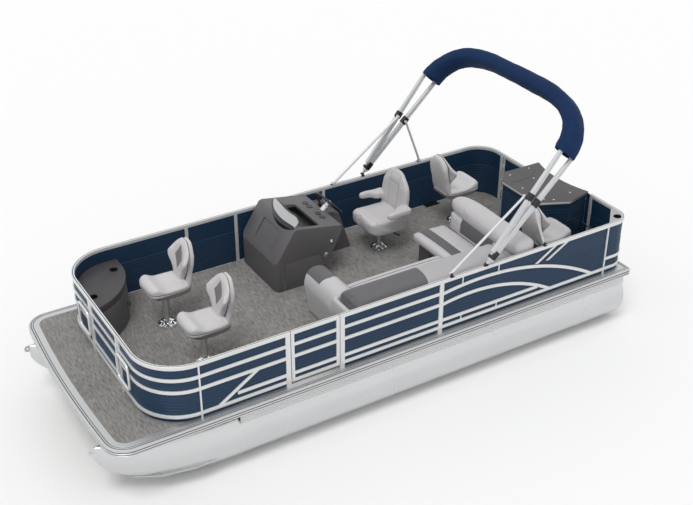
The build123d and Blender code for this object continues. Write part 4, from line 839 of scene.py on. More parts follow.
# columns: node, place along the boat, Y, facing, height of the underside
seatPlaces = (("bow_seat_port", 4.928, 0.4027, 1, 1.14), ("bow_seat_starboard", 4.978, -0.4351, 1, 1.14),
              ("aft_seat_port", 0.861, 0.7835, -1, 1.14), ("aft_seat_starboard", 1.041, -0.6993, -1, 1.14),
              ("helm_chair", 2.196, -0.6268, 1, 1.04))
for node, place, y, facing, low in seatPlaces:
    source = "helmChair" if node == "helm_chair" else "fishingSeat"
    mesh = pads[source]["mesh"].copy()
    local = pointsOf(mesh)
    mark = mesh.attributes.new("seatPlace", "FLOAT_VECTOR", "POINT")
    mark.data.foreach_set("vector", local.astype(np.float32).ravel())
    points = local * (facing, facing, 1) + (atPlace(place), y, low)
    mesh.vertices.foreach_set("co", points.astype(np.float32).ravel())
    mesh.update()
    padPiece(node.title().replace("_", "") + "Pad", mesh, "chairVinyl" if source == "helmChair" else "fishingVinyl",
             (node,))
lever = rod(bowed((-0.05, 0.17, -0.022), (-0.1, 0.29, -0.04), (0, 0.0, -0.008)) + (atPlace(2.196), -0.6268, 1.04), 0.008, 8)
newPiece("chairLever", meshOf("chairLever", [lever]), "black", bodyOf["helm_chair"])
print("seats dressed")

# Fence: ribbed panel skins and cap strips, each a profile of insets and heights carried along the fence's plan
fenceSkin = {"outer": 0.012, "outerLow": 0.022, "inner": 0.0314, "low": 0.745, "gateLow": 0.792, "step": 0.827,
             "high": 1.345, "pitch": 0.035, "depth": 0.0035, "ribTop": 1.15, "cornerSteps": 14}


def cornerArc(middle, radius, first, last, inset):
    turn = np.radians(np.linspace(first, last, fenceSkin["cornerSteps"]))[:, None]
    return np.stack([middle[0] + (radius - inset) * np.cos(turn), middle[1] + (radius - inset) * np.sin(turn)], -1)


def fencePlan(section, inset):
    # straight runs keep their ends and move inwards by the inset, corner arcs lose as much radius
    inset = np.array(inset, float)[None, :]
    side = -1 if section.startswith("starboard") or section == "stern_gate" else 1
    wall, bow = side * (fence["half"] - inset), fence["bow"] - inset
    bowMiddle = (fence["bow"] - fence["bowRadius"], side * (fence["half"] - fence["bowRadius"]))
    seam = 5.33 + 0 * inset

    def spot(x, y):
        return np.stack([x + 0 * inset, y + 0 * inset], -1)

    if section in ("port_bow_corner", "starboard_bow_corner"):
        edge = 0.415 if side > 0 else -0.315
        return np.vstack([spot(seam, wall), cornerArc(bowMiddle, fence["bowRadius"], side * 90, 0, inset),
                          spot(bow, edge)])
    if section in ("port_stern_corner", "starboard_stern_corner"):
        stern, radius, start, edge = ((fence["portStern"], fence["portRadius"], 0.355, 0.56) if side > 0 else
                                      (fence["starboardStern"], fence["starboardRadius"], 0.6, -0.795))
        middle = (stern + radius, side * (fence["half"] - radius))
        return np.vstack([spot(start, wall), cornerArc(middle, radius, side * 90, side * 180, inset),
                          spot(stern + inset, edge)])
    if section in ("bow_gate", "stern_gate"):
        x, ends = ((bow, (-0.307, 0.407)) if section == "bow_gate" else (fence["starboardStern"] + inset, (-0.787, -0.397)))
        return np.vstack([spot(x, ends[0]), spot(x, ends[1])])
    start, end = {"port_bow_side": (4.387, 5.33), "port_gate": (3.84, 4.379), "port_aft_side": (0.355, 3.832),
                  "starboard_side": (0.6, 5.33)}[section]
    return np.vstack([spot(start, wall), spot((start + end) / 2, wall), spot(end, wall)])


def onFence(section, profile):
    profile = np.array(profile, float)
    plan = fencePlan(section, profile[:, 0])
    heights = np.broadcast_to(profile[None, :, 1], plan.shape[:2])
    return gridSurface(np.stack([plan[..., 0] + hull["sternEdge"], plan[..., 1], heights], -1))


def ribs(low, base, into):
    # flutes: most of each pitch is flat, the rest steps into the sheet and back
    count = int((fenceSkin["ribTop"] - low) / fenceSkin["pitch"])
    start = low + fenceSkin["pitch"] * np.arange(count)[:, None]
    heights = start + fenceSkin["pitch"] * np.array([0.0, 0.7, 0.78, 0.92])[None, :]
    insets = base + into * fenceSkin["depth"] * np.array([0.0, 0.0, 1.0, 1.0])[None, :] + 0 * start
    return np.stack([insets.ravel(), heights.ravel()], -1).tolist()


panelNodes = [name for name in nodes if name.endswith("_panel")]
for node in panelNodes:
    section = node.replace("_panel", "")
    low = fenceSkin["gateLow"] if section.endswith("gate") else fenceSkin["low"]
    inside = ribs(low + 0.01, fenceSkin["inner"], -1)
    profile = [(fenceSkin["outerLow"], low), (fenceSkin["outerLow"], fenceSkin["step"]),
               *ribs(fenceSkin["step"], fenceSkin["outer"], 1), (fenceSkin["outer"], fenceSkin["high"]),
               (fenceSkin["inner"], fenceSkin["high"]), *inside[::-1], (fenceSkin["inner"], low)]
    mesh = meshOf(section + "Skin", [onFence(section, profile)])
    newPiece(section + "Skin", mesh, "panel", bodyOf[node], (node,))

capProfile = [(0.001, 1.3796), (0.001, 1.3822), (0.003, 1.3836), (0.0105, 1.3836), (0.0115, 1.381), (0.0185, 1.381),
              (0.0195, 1.3836), (0.029, 1.3836), (0.031, 1.3822), (0.031, 1.3796)]
# the dark strip laid in each rail cap's groove is painted groove shade
grooveShadeProfile = [(0.0117, 1.3805), (0.0117, 1.3822), (0.0183, 1.3822), (0.0183, 1.3805)]
capGroups = {"hull": [n.replace("_panel", "") for n in panelNodes if not n.startswith(("bow_gate", "port_gate", "stern_gate"))],
             "bow_gate": ["bow_gate"], "port_gate": ["port_gate"], "stern_gate": ["stern_gate"]}
for group, sections in capGroups.items():
    carrier = sections[0]
    newPiece(group + "RailCap", meshOf(group + "RailCap", [onFence(s, capProfile) for s in sections]), "rail",
             bodyOf[carrier])
    # dark strip in the cap's groove: painted shade
    newPiece(group + "RailGasket", meshOf(group + "RailGasket", [onFence(s, grooveShadeProfile) for s in sections]), "gasket",
             bodyOf[carrier])

# pale strips over the panels' seams on the inside, and a thin one in the stern corner
seamStrips = {"places": (4.377, 3.77, 2.62), "half": 0.02, "wall": 1.1914, "proud": 0.003}
strips = [block((atPlace(x) - seamStrips["half"], -seamStrips["wall"], 0.746),
                (atPlace(x) + seamStrips["half"], -seamStrips["wall"] + seamStrips["proud"], 1.345))
          for x in seamStrips["places"]]
strips += [block((atPlace(0.262), -0.845, 0.746), (atPlace(0.267), -0.797, 1.345)),
           block((atPlace(0.355) - 0.02, 1.1884, 0.746), (atPlace(0.355) + 0.02, 1.1914, 1.345))]
newPiece("seamStrips", meshOf("seamStrips", strips), "strip", bodyOf["starboard_side"])

# rounded loops of rail on the bow face, beside the gate
bowLoops = {"radius": 0.013, "off": 0.02, "corner": 0.05, "heights": (0.93, 1.21)}


def roundedOutline(low, high, corner, steps=6):
    # closed outline of a rectangle with round corners, anticlockwise
    middles = np.array([(high[0] - corner, high[1] - corner), (low[0] + corner, high[1] - corner),
                        (low[0] + corner, low[1] + corner), (high[0] - corner, low[1] + corner)])
    turn = np.radians(np.arange(4)[:, None] * 90 + np.linspace(0, 90, steps)[None, :])
    return np.stack([middles[:, :1] + corner * np.cos(turn), middles[:, 1:] + corner * np.sin(turn)], -1).reshape(-1, 2)


def bowLoop(edges):
    outline = roundedOutline((edges[0], bowLoops["heights"][0]), (edges[1], bowLoops["heights"][1]), bowLoops["corner"])
    # it stands off the straight face and follows the corner's arc where it passes it
    middle = fence["half"] - fence["bowRadius"]
    over = np.clip(np.abs(outline[:, 0]) - middle, 0, None)
    x = fence["bow"] - fence["bowRadius"] + np.sqrt(fence["bowRadius"] ** 2 - over ** 2) + bowLoops["off"]
    return rod(np.stack([x + hull["sternEdge"], outline[:, 0], outline[:, 1]], -1), bowLoops["radius"], 10, (1, 0, 0), True)


newPiece("bowLoops", meshOf("bowLoops", [bowLoop((0.43, 0.72)), bowLoop((-0.62, -0.33))]), "rail",
         bodyOf["port_bow_corner"])
print("fence dressed")

# Deck: rim with grooves and a flange, carried round the deck's plan
deckPlan = {"cornerX": 6.0388, "cornerY": 1.065, "cornerRadius": 0.23, "bigMiddle": -7.695, "bigRadius": 14.005,
            "tangent": 4.434, "sternRadius": 0.025}


def deckLine(inset):
    # half the outline from the stern round the bow corner to the middle, then its mirror image
    inset = np.array(inset, float)[None, :]
    half, radius = hull["halfBeam"], deckPlan["sternRadius"]
    sternTurn = np.radians(np.linspace(180, 90, 5))[:, None]
    bowTurn = np.radians(np.linspace(90, deckPlan["tangent"], 14))[:, None]
    bigTurn = np.radians(np.linspace(deckPlan["tangent"], 0, 12)[1:])[:, None]
    small = np.maximum(radius - inset, 0.0005)
    shift = np.maximum(inset, radius - 0.0005) - radius + 0.0005
    stern = np.stack([radius + shift + small * np.cos(sternTurn), half - radius - shift + small * np.sin(sternTurn)], -1)
    round_ = deckPlan["cornerRadius"] - inset
    bow = np.stack([deckPlan["cornerX"] + round_ * np.cos(bowTurn), deckPlan["cornerY"] + round_ * np.sin(bowTurn)], -1)
    wide = deckPlan["bigRadius"] - inset
    front = np.stack([deckPlan["bigMiddle"] + wide * np.cos(bigTurn), wide * np.sin(bigTurn)], -1)
    port = np.vstack([stern, bow, front])
    return np.vstack([port, port[-2::-1] * (1, -1)])


rimProfile = np.array([(0.0, 0.665), (0.0, 0.673), (0.004, 0.676), (0.004, 0.684), (0.0, 0.687), (0.0, 0.699),
                       (0.004, 0.702), (0.004, 0.712), (0.0, 0.715), (0.0, 0.733), (0.002, 0.7385), (0.007, 0.7405),
                       (0.018, 0.7405), (0.02, 0.7378), (0.028, 0.7378), (0.03, 0.7405), (0.04, 0.7405),
                       (0.042, 0.738), (0.049, 0.738), (0.051, 0.7403), (0.1092, 0.7403), (0.1092, 0.7373),
                       (0.0075, 0.7373), (0.0055, 0.735), (0.0055, 0.665)])
rimLine = deckLine(rimProfile[:, 0])
rimHeights = np.broadcast_to(rimProfile[None, :, 1], rimLine.shape[:2])
rimPoints = np.stack([rimLine[..., 0] + hull["sternEdge"], rimLine[..., 1], rimHeights], -1)
newPiece("deckRim", meshOf("deckRim", [gridSurface(rimPoints, True, True)]), "rim", bodyOf["deck_edge"],
         ("deck_edge",))

# dark shadow lines in its grooves
def rimStrip(profile):
    profile = np.array(profile)
    line = deckLine(profile[:, 0])
    heights = np.broadcast_to(profile[None, :, 1], line.shape[:2])
    return gridSurface(np.stack([line[..., 0] + hull["sternEdge"], line[..., 1], heights], -1), True, True)


grooves = [[(a, 0.7379), (a, 0.7386), (b, 0.7386), (b, 0.7379)] for a, b in ((0.0207, 0.0273), (0.0427, 0.0483))]
grooves += [[(0.0036, a), (0.0029, a), (0.0029, b), (0.0036, b)] for a, b in ((0.6768, 0.6832), (0.7028, 0.7112))]
newPiece("rimLines", meshOf("rimLines", [rimStrip(g) for g in grooves]), "gasket", bodyOf["deck_edge"])

# fluted bands outside the risers' webs
riserBand = {"low": 0.5, "high": 0.664, "pitch": 0.022, "proud": 0.0055, "web": 1.215, "ends": (0.021, 4.949)}
steps = int((riserBand["high"] - riserBand["low"]) / riserBand["pitch"])
levels = (riserBand["low"] + riserBand["pitch"] * (np.arange(steps)[:, None] + np.array([0.0, 0.2, 0.35, 0.8, 0.95])[None, :])).ravel()
bulge = riserBand["proud"] * np.tile([0.1, 0.1, 1.0, 1.0, 0.1], steps)
fluteRing = np.stack([np.append(riserBand["web"] + bulge, (riserBand["web"] - 0.001,) * 2),
                      np.append(levels, (riserBand["high"], riserBand["low"]))], -1)
bands = []
for side in (1, -1):
    ends = np.array([atPlace(x) for x in np.linspace(*riserBand["ends"], 6)])
    ring = np.stack([np.broadcast_to(ends[:, None], (6, len(fluteRing))),
                     np.broadcast_to(side * fluteRing[None, :, 0], (6, len(fluteRing))),
                     np.broadcast_to(fluteRing[None, :, 1], (6, len(fluteRing)))], -1)
    bands.append(gridSurface(ring))
newPiece("riserBands", meshOf("riserBands", bands), "trim", bodyOf["risers"])

# weld beads round the tubes
beads = {"places": (0.62, 1.9, 3.2, 4.45, 4.965), "radius": 0.0045}
turn = np.linspace(0, 2 * np.pi, 64, endpoint=False)
rings = [rod(np.stack([np.full(64, atPlace(x)), side * hull["tubeOffset"] + hull["tubeRadius"] * np.cos(turn),
                       hull["tubeMiddle"] + hull["tubeRadius"] * np.sin(turn)], -1), beads["radius"], 6, (1, 0, 0), True)
         for x in beads["places"] for side in (1, -1)]
newPiece("weldBeads", meshOf("weldBeads", rings), "trim", bodyOf["port_pontoon"])
print("deck dressed")

# Seat pedestals: star bases, posts with collars and top plates
pedestal = {"baseRadius": 0.097, "dome": 0.02, "star": 0.009, "points": 5, "post": 0.033}


def starBase(x, y):
    # height falls from the post to the rim as a dome, with a wave of five points round it
    reach = np.linspace(0.02, pedestal["baseRadius"], 14)[:, None]
    turn = np.linspace(0, 2 * np.pi, 80, endpoint=False)[None, :]
    share = reach / pedestal["baseRadius"]
    height = pedestal["dome"] * (1 - share ** 2) + pedestal["star"] * np.cos(pedestal["points"] * turn) * np.sin(np.pi * share)
    height = np.maximum(height, 0.0035)
    top = np.stack([x + reach * np.cos(turn), y + reach * np.sin(turn), hull["deckTop"] + height], -1)
    foot = top[-1:] * (1, 1, 0) + (0, 0, hull["deckTop"] + 0.0005)
    return gridSurface(np.vstack([top, foot]))


bases, posts = [], []
for node, place, y, facing, low in seatPlaces:
    x, rise = atPlace(place), low - hull["deckTop"]
    bases.append(starBase(x, y))
    bases.append(turned((x, y, hull["deckTop"]), (0, 0, 1), [(0.03, 0.012), (0.043, 0.014), (0.043, 0.05), (0.034, 0.056)], 28))
    posts.append(turned((x, y, hull["deckTop"]), (0, 0, 1),
                        [(pedestal["post"], 0.01), (pedestal["post"], rise - 0.1), (0.036, rise - 0.095), (0.036, rise - 0.03),
                         (0.079, rise - 0.014), (0.079, rise - 0.002), (0.04, rise - 0.001)], 28))
newPiece("seatBases", meshOf("seatBases", bases), "bright", bodyOf["seat_pedestals"],
         ("seat_pedestals",))
newPiece("seatPosts", meshOf("seatPosts", posts), "satin", bodyOf["seat_pedestals"])

def arcThrough(first, middle, last, count=14):
    # circle through three points, from the first to the last
    (ax, ay), (bx, by), (cx, cy) = first, middle, last
    d = 2 * (ax * (by - cy) + bx * (cy - ay) + cx * (ay - by))
    ux = ((ax ** 2 + ay ** 2) * (by - cy) + (bx ** 2 + by ** 2) * (cy - ay) + (cx ** 2 + cy ** 2) * (ay - by)) / d
    uy = ((ax ** 2 + ay ** 2) * (cx - bx) + (bx ** 2 + by ** 2) * (ax - cx) + (cx ** 2 + cy ** 2) * (bx - ax)) / d
    start, end = math.atan2(ay - uy, ax - ux), math.atan2(cy - uy, cx - ux)
    turn = np.linspace(start, end, count)
    reach = math.hypot(ax - ux, ay - uy)
    return np.stack([ux + reach * np.cos(turn), uy + reach * np.sin(turn)], -1)


# Cup holders: black liners sunk into the bow console's top and the corner shelf
cups = ((5.3157, -0.9846, 1.215, 0.0005), (5.6847, -0.5872, 1.215, 0.0005), (0.1372, 1.1078, 1.37, 0.0005))
linerProfile = [(0.002, -0.0712), (0.0412, -0.0712), (0.0412, 0.0), (0.047, 0.0003), (0.047, 0.0022), (0.0405, 0.003),
                (0.0395, 0.0), (0.0385, -0.068), (0.002, -0.068)]
liners = [turned((atPlace(x), y, z), (0, 0, 1), linerProfile, 36) for x, y, z, _ in cups]
newPiece("cupLiners", meshOf("cupLiners", liners), "black", bodyOf["bow_console_top"])


def latch(centre, axis, scale=1.0):
    # slam latch: a round plate with a raised grip
    return turned(centre, axis, [(r * scale, h * scale) for r, h in (
        (0.002, 0.0), (0.026, 0.0), (0.028, 0.002), (0.026, 0.005), (0.018, 0.006), (0.016, 0.011), (0.002, 0.012))], 28)


latches = [latch((atPlace(5.2745), -0.72, 0.92), (-0.917, 0.397, 0), 1.2), latch((atPlace(1.99), 0.135, 0.9), (1, 0, 0), 1.2)]
newPiece("latches", meshOf("latches", latches), "black", bodyOf["bow_console"])

# Helm: chrome knob and latch on its port face, gauges on the dash, a black tub in the tray
helmFit = {"face": -0.33, "knob": (3.023, 1.203), "latch": (3.089, 1.051), "gaugePlace": 3.0, "gaugeY": (-0.56, -0.66, -0.85, -0.95),
           "slope": 9.9, "dashHigh": 1.391}
knob = turned((atPlace(helmFit["knob"][0]), helmFit["face"], helmFit["knob"][1]), (0, 1, 0),
              [(0.002, 0.0), (0.021, 0.0), (0.022, 0.005), (0.013, 0.009), (0.012, 0.018), (0.007, 0.023), (0.002, 0.024)], 28)
ring = turned((atPlace(helmFit["latch"][0]), helmFit["face"], helmFit["latch"][1]), (0, 1, 0),
              [(0.02, 0.0), (0.027, 0.0), (0.028, 0.004), (0.024, 0.006), (0.02, 0.004)], 28)
newPiece("helmChrome", meshOf("helmChrome", [knob, ring]), "bright", bodyOf["helm_console"])
lean = math.radians(helmFit["slope"])
dashUp = np.array((-math.sin(lean), 0, math.cos(lean)))
gauges, bezels = [], []
for y in helmFit["gaugeY"]:
    centre = np.array((atPlace(helmFit["gaugePlace"]), y, helmFit["dashHigh"]))
    gauges.append(turned(centre, dashUp, [(0.002, -0.004), (0.031, -0.004), (0.031, 0.003), (0.002, 0.004)], 28))
    bezels.append(turned(centre, dashUp, [(0.031, -0.004), (0.036, -0.003), (0.036, 0.004), (0.033, 0.0065), (0.0305, 0.005)], 28))
tub = [((0.001, 0.001), 1.3303), ((0.001, 0.001), 1.388), ((0.006, 0.006), 1.388), ((0.008, 0.008), 1.334)]
tubRings = []
for inset, height in tub:
    plan = roundedOutline((3.1355 + inset[0], -0.955 + inset[0]), (3.386 - inset[0], -0.385 - inset[0]), 0.03 - inset[0] / 2)
    tubRings.append(np.stack([plan[:, 0] + hull["sternEdge"], plan[:, 1], np.full(len(plan), height)], -1))
latchCore = turned((atPlace(helmFit["latch"][0]), helmFit["face"], helmFit["latch"][1]), (0, 1, 0),
                   [(0.002, 0.0), (0.02, 0.0), (0.019, 0.003), (0.002, 0.003)], 24)
newPiece("helmDark", meshOf("helmDark", [gridSurface(np.array(tubRings)), latchCore, *gauges, *bezels]), "black",
         bodyOf["helm_console"])

# Windscreen: a raked blade over an arc in plan, lower at its starboard end, with a black foot and top edge
screen = {"ends": ((3.302, -1.125), (3.467, -0.375)), "middle": (3.492, -0.75), "low": 1.455, "height": 0.115, "rake": 0.9,
          "skipped": 3, "rows": 44}
screenLine = arcThrough(screen["ends"][0], screen["middle"], screen["ends"][1], screen["rows"])[screen["skipped"]:]
screenAhead = np.gradient(screenLine, axis=0)
screenOut = np.stack([screenAhead[:, 1], -screenAhead[:, 0]], -1) / np.linalg.norm(screenAhead, axis=1, keepdims=True)
screenShare = np.linspace(0, 1, len(screenLine))
screenHigh = screen["height"] * (0.3 + 0.7 * np.sin(np.pi / 2 * np.clip(screenShare / 0.55, 0, 1)))
screenHigh = screenHigh * (1 - 0.3 * np.clip((screenShare - 0.86) / 0.14, 0, 1) ** 2)


def screenBand(columns):
    # each column: distance outwards, share of the height along the rake, drop below the brow
    out, rise, drop = np.array(columns, float).T
    x = screenLine[:, :1] + screenOut[:, :1] * out - screen["rake"] * screenHigh[:, None] * rise
    y = screenLine[:, 1:] + screenOut[:, 1:] * out
    z = screen["low"] + screenHigh[:, None] * rise - drop
    return gridSurface(np.stack([x + hull["sternEdge"], y, z + 0 * x], -1))


blade = screenBand([(0.006, 0, 0.05), (0.006, 0, 0), (0.006, 1, 0), (0.001, 1, 0), (0.001, 0, 0), (0.001, 0, 0.05)])
newPiece("screenBlade", meshOf("screenBlade", [blade]), "screen", bodyOf["windscreen"], ("windscreen",))
edges = [screenBand([(0.011, 0, 0.05), (0.011, 0, 0), (0.011, 0.28, 0), (-0.003, 0.28, 0), (-0.003, 0, 0), (-0.003, 0, 0.05)]),
         screenBand([(0.009, 0.97, 0), (0.009, 1.04, 0), (-0.002, 1.04, 0), (-0.002, 0.97, 0)])]
newPiece("screenEdges", meshOf("screenEdges", edges), "black", bodyOf["windscreen"])

# Steering wheel: padded rim with finger bumps, three flat spokes and a pale hub
wheel = {"centre": (atPlace(2.8), -0.75, 1.44), "radius": 0.175, "rim": 0.0135, "tilt": 43.0, "spokes": (90, 210, 330)}
tilt = math.radians(wheel["tilt"])
wheelAxis = np.array((-math.cos(tilt), 0, math.sin(tilt)))
wheelSide, wheelUp = np.array((0.0, 1.0, 0.0)), np.cross(wheelAxis, (0.0, 1.0, 0.0))


def onWheel(across, upward, out):
    return (np.array(wheel["centre"]) + np.multiply.outer(across, wheelSide) + np.multiply.outer(upward, wheelUp)
            + np.multiply.outer(out, wheelAxis))


turn = np.linspace(0, 2 * np.pi, 96, endpoint=False)[:, None]
around = np.linspace(0, 2 * np.pi, 14, endpoint=False)[None, :]
thick = wheel["rim"] * (1 + 0.08 * np.cos(24 * turn) * (np.cos(around) < 0))
rimReach = wheel["radius"] + thick * np.cos(around)
wheelRim = onWheel(rimReach * np.cos(turn), rimReach * np.sin(turn), thick * np.sin(around))
newPiece("wheelRim", meshOf("wheelRim", [gridSurface(wheelRim, True, True)]), "black", bodyOf["steering_wheel"],
         ("steering_wheel",))
spokes = []
for angle in wheel["spokes"]:
    # flat bar that widens towards the hub and dishes inwards
    reach = np.linspace(0.03, 0.168, 10)[:, None]
    half = 0.011 + 0.012 * np.exp(-((reach - 0.03) / 0.05) ** 2)
    ringTurn = np.linspace(0, 2 * np.pi, 12, endpoint=False)[None, :]
    aside, out = half * np.cos(ringTurn), 0.004 * np.sin(ringTurn) - 0.012 * (1 - reach / 0.168)
    a = math.radians(angle)
    spokes.append(gridSurface(onWheel(reach * math.cos(a) - aside * math.sin(a), reach * math.sin(a) + aside * math.cos(a), out)))
newPiece("wheelSpokes", meshOf("wheelSpokes", spokes), "satin", bodyOf["steering_wheel"])
column = turned(wheel["centre"], wheelAxis, [(0.024, -0.13), (0.036, -0.125), (0.037, -0.06), (0.03, -0.052), (0.03, -0.0246), (0.02, -0.0206)], 28)
newPiece("wheelColumn", meshOf("wheelColumn", [column]), "satin", bodyOf["helm_console"])
hub = turned(wheel["centre"], wheelAxis, [(0.026, -0.02), (0.036, -0.016), (0.038, 0.002), (0.03, 0.013), (0.012, 0.018), (0.002, 0.019)], 32)
newPiece("wheelHub", meshOf("wheelHub", [hub]), "pale", bodyOf["steering_wheel"])
print("helm dressed")

# Stern station: ribbed walls round its plan, pale corner trims, a bead and a sink line on the top
station = {"low": 0.742, "high": 1.374, "pitch": 0.04, "depth": 0.003, "wall": 0.012, "trim": 0.012}


stile = block((atPlace(0.04), 0.502, 0.746), (atPlace(0.06), 0.561, 1.376))
stationPlan = np.vstack([arcThrough((0.06, -0.37), (0.14, 0.07), (0.06, 0.51)), [(0.4, 0.59)],
                         arcThrough((0.7, 0.4488), (0.728, 0.432), (0.74, 0.39), 5),
                         arcThrough((0.74, -0.19), (0.732, -0.213), (0.722, -0.228), 4),
                         arcThrough((0.598, -0.352), (0.585, -0.363), (0.565, -0.37), 4)])
stationPath = np.stack([stationPlan[:, 0] + hull["sternEdge"], stationPlan[:, 1], 0 * stationPlan[:, 0]], -1)
count = int((station["high"] - 0.05 - station["low"]) / station["pitch"])
levels = (station["low"] + station["pitch"] * (np.arange(count)[:, None] + np.array([0.0, 0.72, 0.8, 0.93])[None, :])).ravel()
step = station["depth"] * np.tile([0.0, 0.0, 1.0, 1.0], count)
ring = np.stack([np.append(step, (0, station["wall"], station["wall"])),
                 np.append(levels, (station["high"], station["high"], station["low"]))], -1)
newPiece("stationWalls", meshOf("stationWalls", [gridSurface(carried(stationPath, ring, loop=True), True, True), stile]), "panel",
         bodyOf["station_cabinet"], ("station_cabinet",))
trimPlaces = ((0.0635, -0.365), (0.0635, 0.505), (0.735, 0.405), (0.733, -0.2), (0.59, -0.362))
trims = [rod([(atPlace(x), y, 0.742), (atPlace(x), y, 1.05), (atPlace(x), y, 1.374)], station["trim"] / 2, 8, (1, 0, 0))
         for x, y in trimPlaces]
growth = carried(stationPath, np.array([(-0.0135, 1.3735), (-0.016, 1.378), (-0.016, 1.396), (-0.0135, 1.3995), (-0.011, 1.398), (-0.011, 1.375)]), loop=True)
trims.append(gridSurface(growth, True, True))
newPiece("stationTrims", meshOf("stationTrims", trims), "strip", bodyOf["station_top"])
fittings = ((0.253, -0.316), (0.563, -0.287), (0.373, -0.076), (0.651, 0.058), (0.249, 0.43), (0.614, 0.4), (0.526, 0.469))
buttons = [turned((atPlace(x), y, 1.4), (0, 0, 1), [(0.002, -0.002), (0.012, -0.002), (0.012, 0.001), (0.008, 0.003), (0.002, 0.0032)], 18)
           for x, y in fittings]
newPiece("stationButtons", meshOf("stationButtons", buttons), "satin", bodyOf["station_top"])
seamArc = arcThrough((0.2, -0.26), (0.42, -0.12), (0.66, -0.13), 24)
line = rod(np.stack([seamArc[:, 0] + hull["sternEdge"], seamArc[:, 1], np.full(24, 1.4)], -1), 0.0022, 6)
newPiece("stationSeam", meshOf("stationSeam", [line]), "gasket", bodyOf["station_top"])

# Small fixed fittings: heater grille on the floor, grab bar in the stern corner
grille = [block((atPlace(0.98 + 0.024 * k), -1.185, 0.7402), (atPlace(0.994 + 0.024 * k), -1.125, 0.752)) for k in range(8)]
grille += [block((atPlace(0.97), -1.189, 0.7402), (atPlace(1.172), -1.181, 0.756)),
           block((atPlace(0.97), -1.129, 0.7402), (atPlace(1.172), -1.121, 0.756))]
newPiece("floorGrille", meshOf("floorGrille", grille), "black", bodyOf["floor_covering"])
bar = rod(bowed((atPlace(0.12), 0.54, 1.03), (atPlace(0.12), 1.15, 1.03), (0.02, 0, 0.0), 13), 0.009, 10)
newPiece("grabBar", meshOf("grabBar", [bar]), "satin", bodyOf["port_stern_corner"])

# Sun top: two grooved tubes from the rail to the boot, and the boot as a sewn sleeve round them.
# The bundle's plane has its own coordinates: across the boat, up the lean, and along its normal.
sunTop = {"origin": (-0.9515, 1.449), "rise": (-0.6829, 0.7305), "normal": (0.7305, 0.6829), "legY": 1.225,
          "mainFoot": (2.064, 1.405), "mainHead": (1.0098, 2.3987), "secondFoot": (2.018, 1.493), "secondHead": (1.1662, 2.5383),
          "halfSpan": 1.196, "bootLow": 1.335, "bootRise": 0.515, "legScale": 1.28, "eye": 0.016}
boot = {"radial": 0.094, "thick": 0.13, "flare": 0.014, "bend": 0.82, "rows": 170, "cols": 56, "wall": 0.003,
        "flat": (0.76, 3.15)}


def onTopPlane(across, upward, off):
    x = sunTop["origin"][0] + sunTop["rise"][0] * upward + sunTop["normal"][0] * off
    z = sunTop["origin"][1] + sunTop["rise"][1] * upward + sunTop["normal"][1] * off
    return np.stack([x, across + 0 * x, z], -1)


def archLine(count):
    # half width falls as the square root of a cosine while the height rises as a sine; evenly spaced by length
    turn = np.linspace(0, np.pi, 4001)
    across = sunTop["halfSpan"] * np.sign(np.cos(turn)) * np.abs(np.cos(turn)) ** 0.5
    upward = sunTop["bootLow"] + sunTop["bootRise"] * np.sin(turn) ** 1.05
    length = np.concatenate([[0], np.cumsum(np.hypot(np.diff(across), np.diff(upward)))])
    even = np.linspace(0, length[-1], count)
    return np.interp(even, length, across), np.interp(even, length, upward), even / length[-1]


groovedTube = np.array([(0.016, -0.021), (0.016, -0.012), (0.0132, -0.011), (0.0132, -0.006), (0.016, -0.005), (0.016, 0.005),
                        (0.0132, 0.006), (0.0132, 0.011), (0.016, 0.012), (0.016, 0.021), (0.013, 0.0235),
                        (-0.013, 0.0235), (-0.016, 0.021), (-0.016, 0.012), (-0.0132, 0.011), (-0.0132, 0.006),
                        (-0.016, 0.005), (-0.016, -0.005), (-0.0132, -0.006), (-0.0132, -0.011), (-0.016, -0.012),
                        (-0.016, -0.021), (-0.013, -0.0235), (0.013, -0.0235)]) * sunTop["legScale"]


def bowTube(foot, head, side):
    across, upward, share = archLine(90)
    kept = upward > 1.45
    ends = np.minimum(share, 1 - share)[kept]
    arch = onTopPlane(across[kept] * 0.975, upward[kept], side * (0.03 + 0.045 * np.exp(-((ends - ends.min()) / 0.03) ** 2)))
    rise = np.array((0.004, 0.03, 0.036, 0.3, 0.6, 0.85, 0.95, 1.0))[:, None]
    pinch = np.array((0.5, 0.55, 1, 0.97, 0.92, 0.85, 0.78, 0.66))  # a narrow tongue goes into the foot
    start, finish = (np.array((atPlace(p), sunTop["legY"], z)) for p, z in (foot, head))
    leg = start + (finish - start) * rise
    mirror = leg[::-1] * (1, -1, 1)
    path = np.vstack([leg, arch, mirror])
    up = (sunTop["normal"][0], 0, sunTop["normal"][1])
    girth = np.concatenate([pinch, np.full(len(arch), pinch[-1]), pinch[::-1]])[:, None, None]
    return gridSurface(carried(path, groovedTube * girth, up))


tubes = [bowTube(sunTop["mainFoot"], sunTop["mainHead"], -1), bowTube(sunTop["secondFoot"], sunTop["secondHead"], 1)]
newPiece("topTubes", meshOf("topTubes", tubes), "topTube", bodyOf["top_bows"], ("top_bows",))

# black sleeves on the legs: where the second bow is hinged and where the struts are clamped
sleeves = []
for foot, head, middle, half in ((sunTop["mainFoot"], sunTop["mainHead"], 1.49, 0.032),
                                 (sunTop["mainFoot"], sunTop["mainHead"], 1.963, 0.03),
                                 (sunTop["secondFoot"], sunTop["secondHead"], 2.058, 0.03)):
    for flank in (1, -1):
        heights = np.array((middle - half, middle + half))
        places = np.interp(heights, (foot[1], head[1]), (foot[0], head[0]))
        line = np.stack([places + hull["sternEdge"], np.full(2, flank * sunTop["legY"]), heights], -1)
        sleeves.append(gridSurface(carried(line, groovedTube * 1.22, (sunTop["normal"][0], 0, sunTop["normal"][1]))))
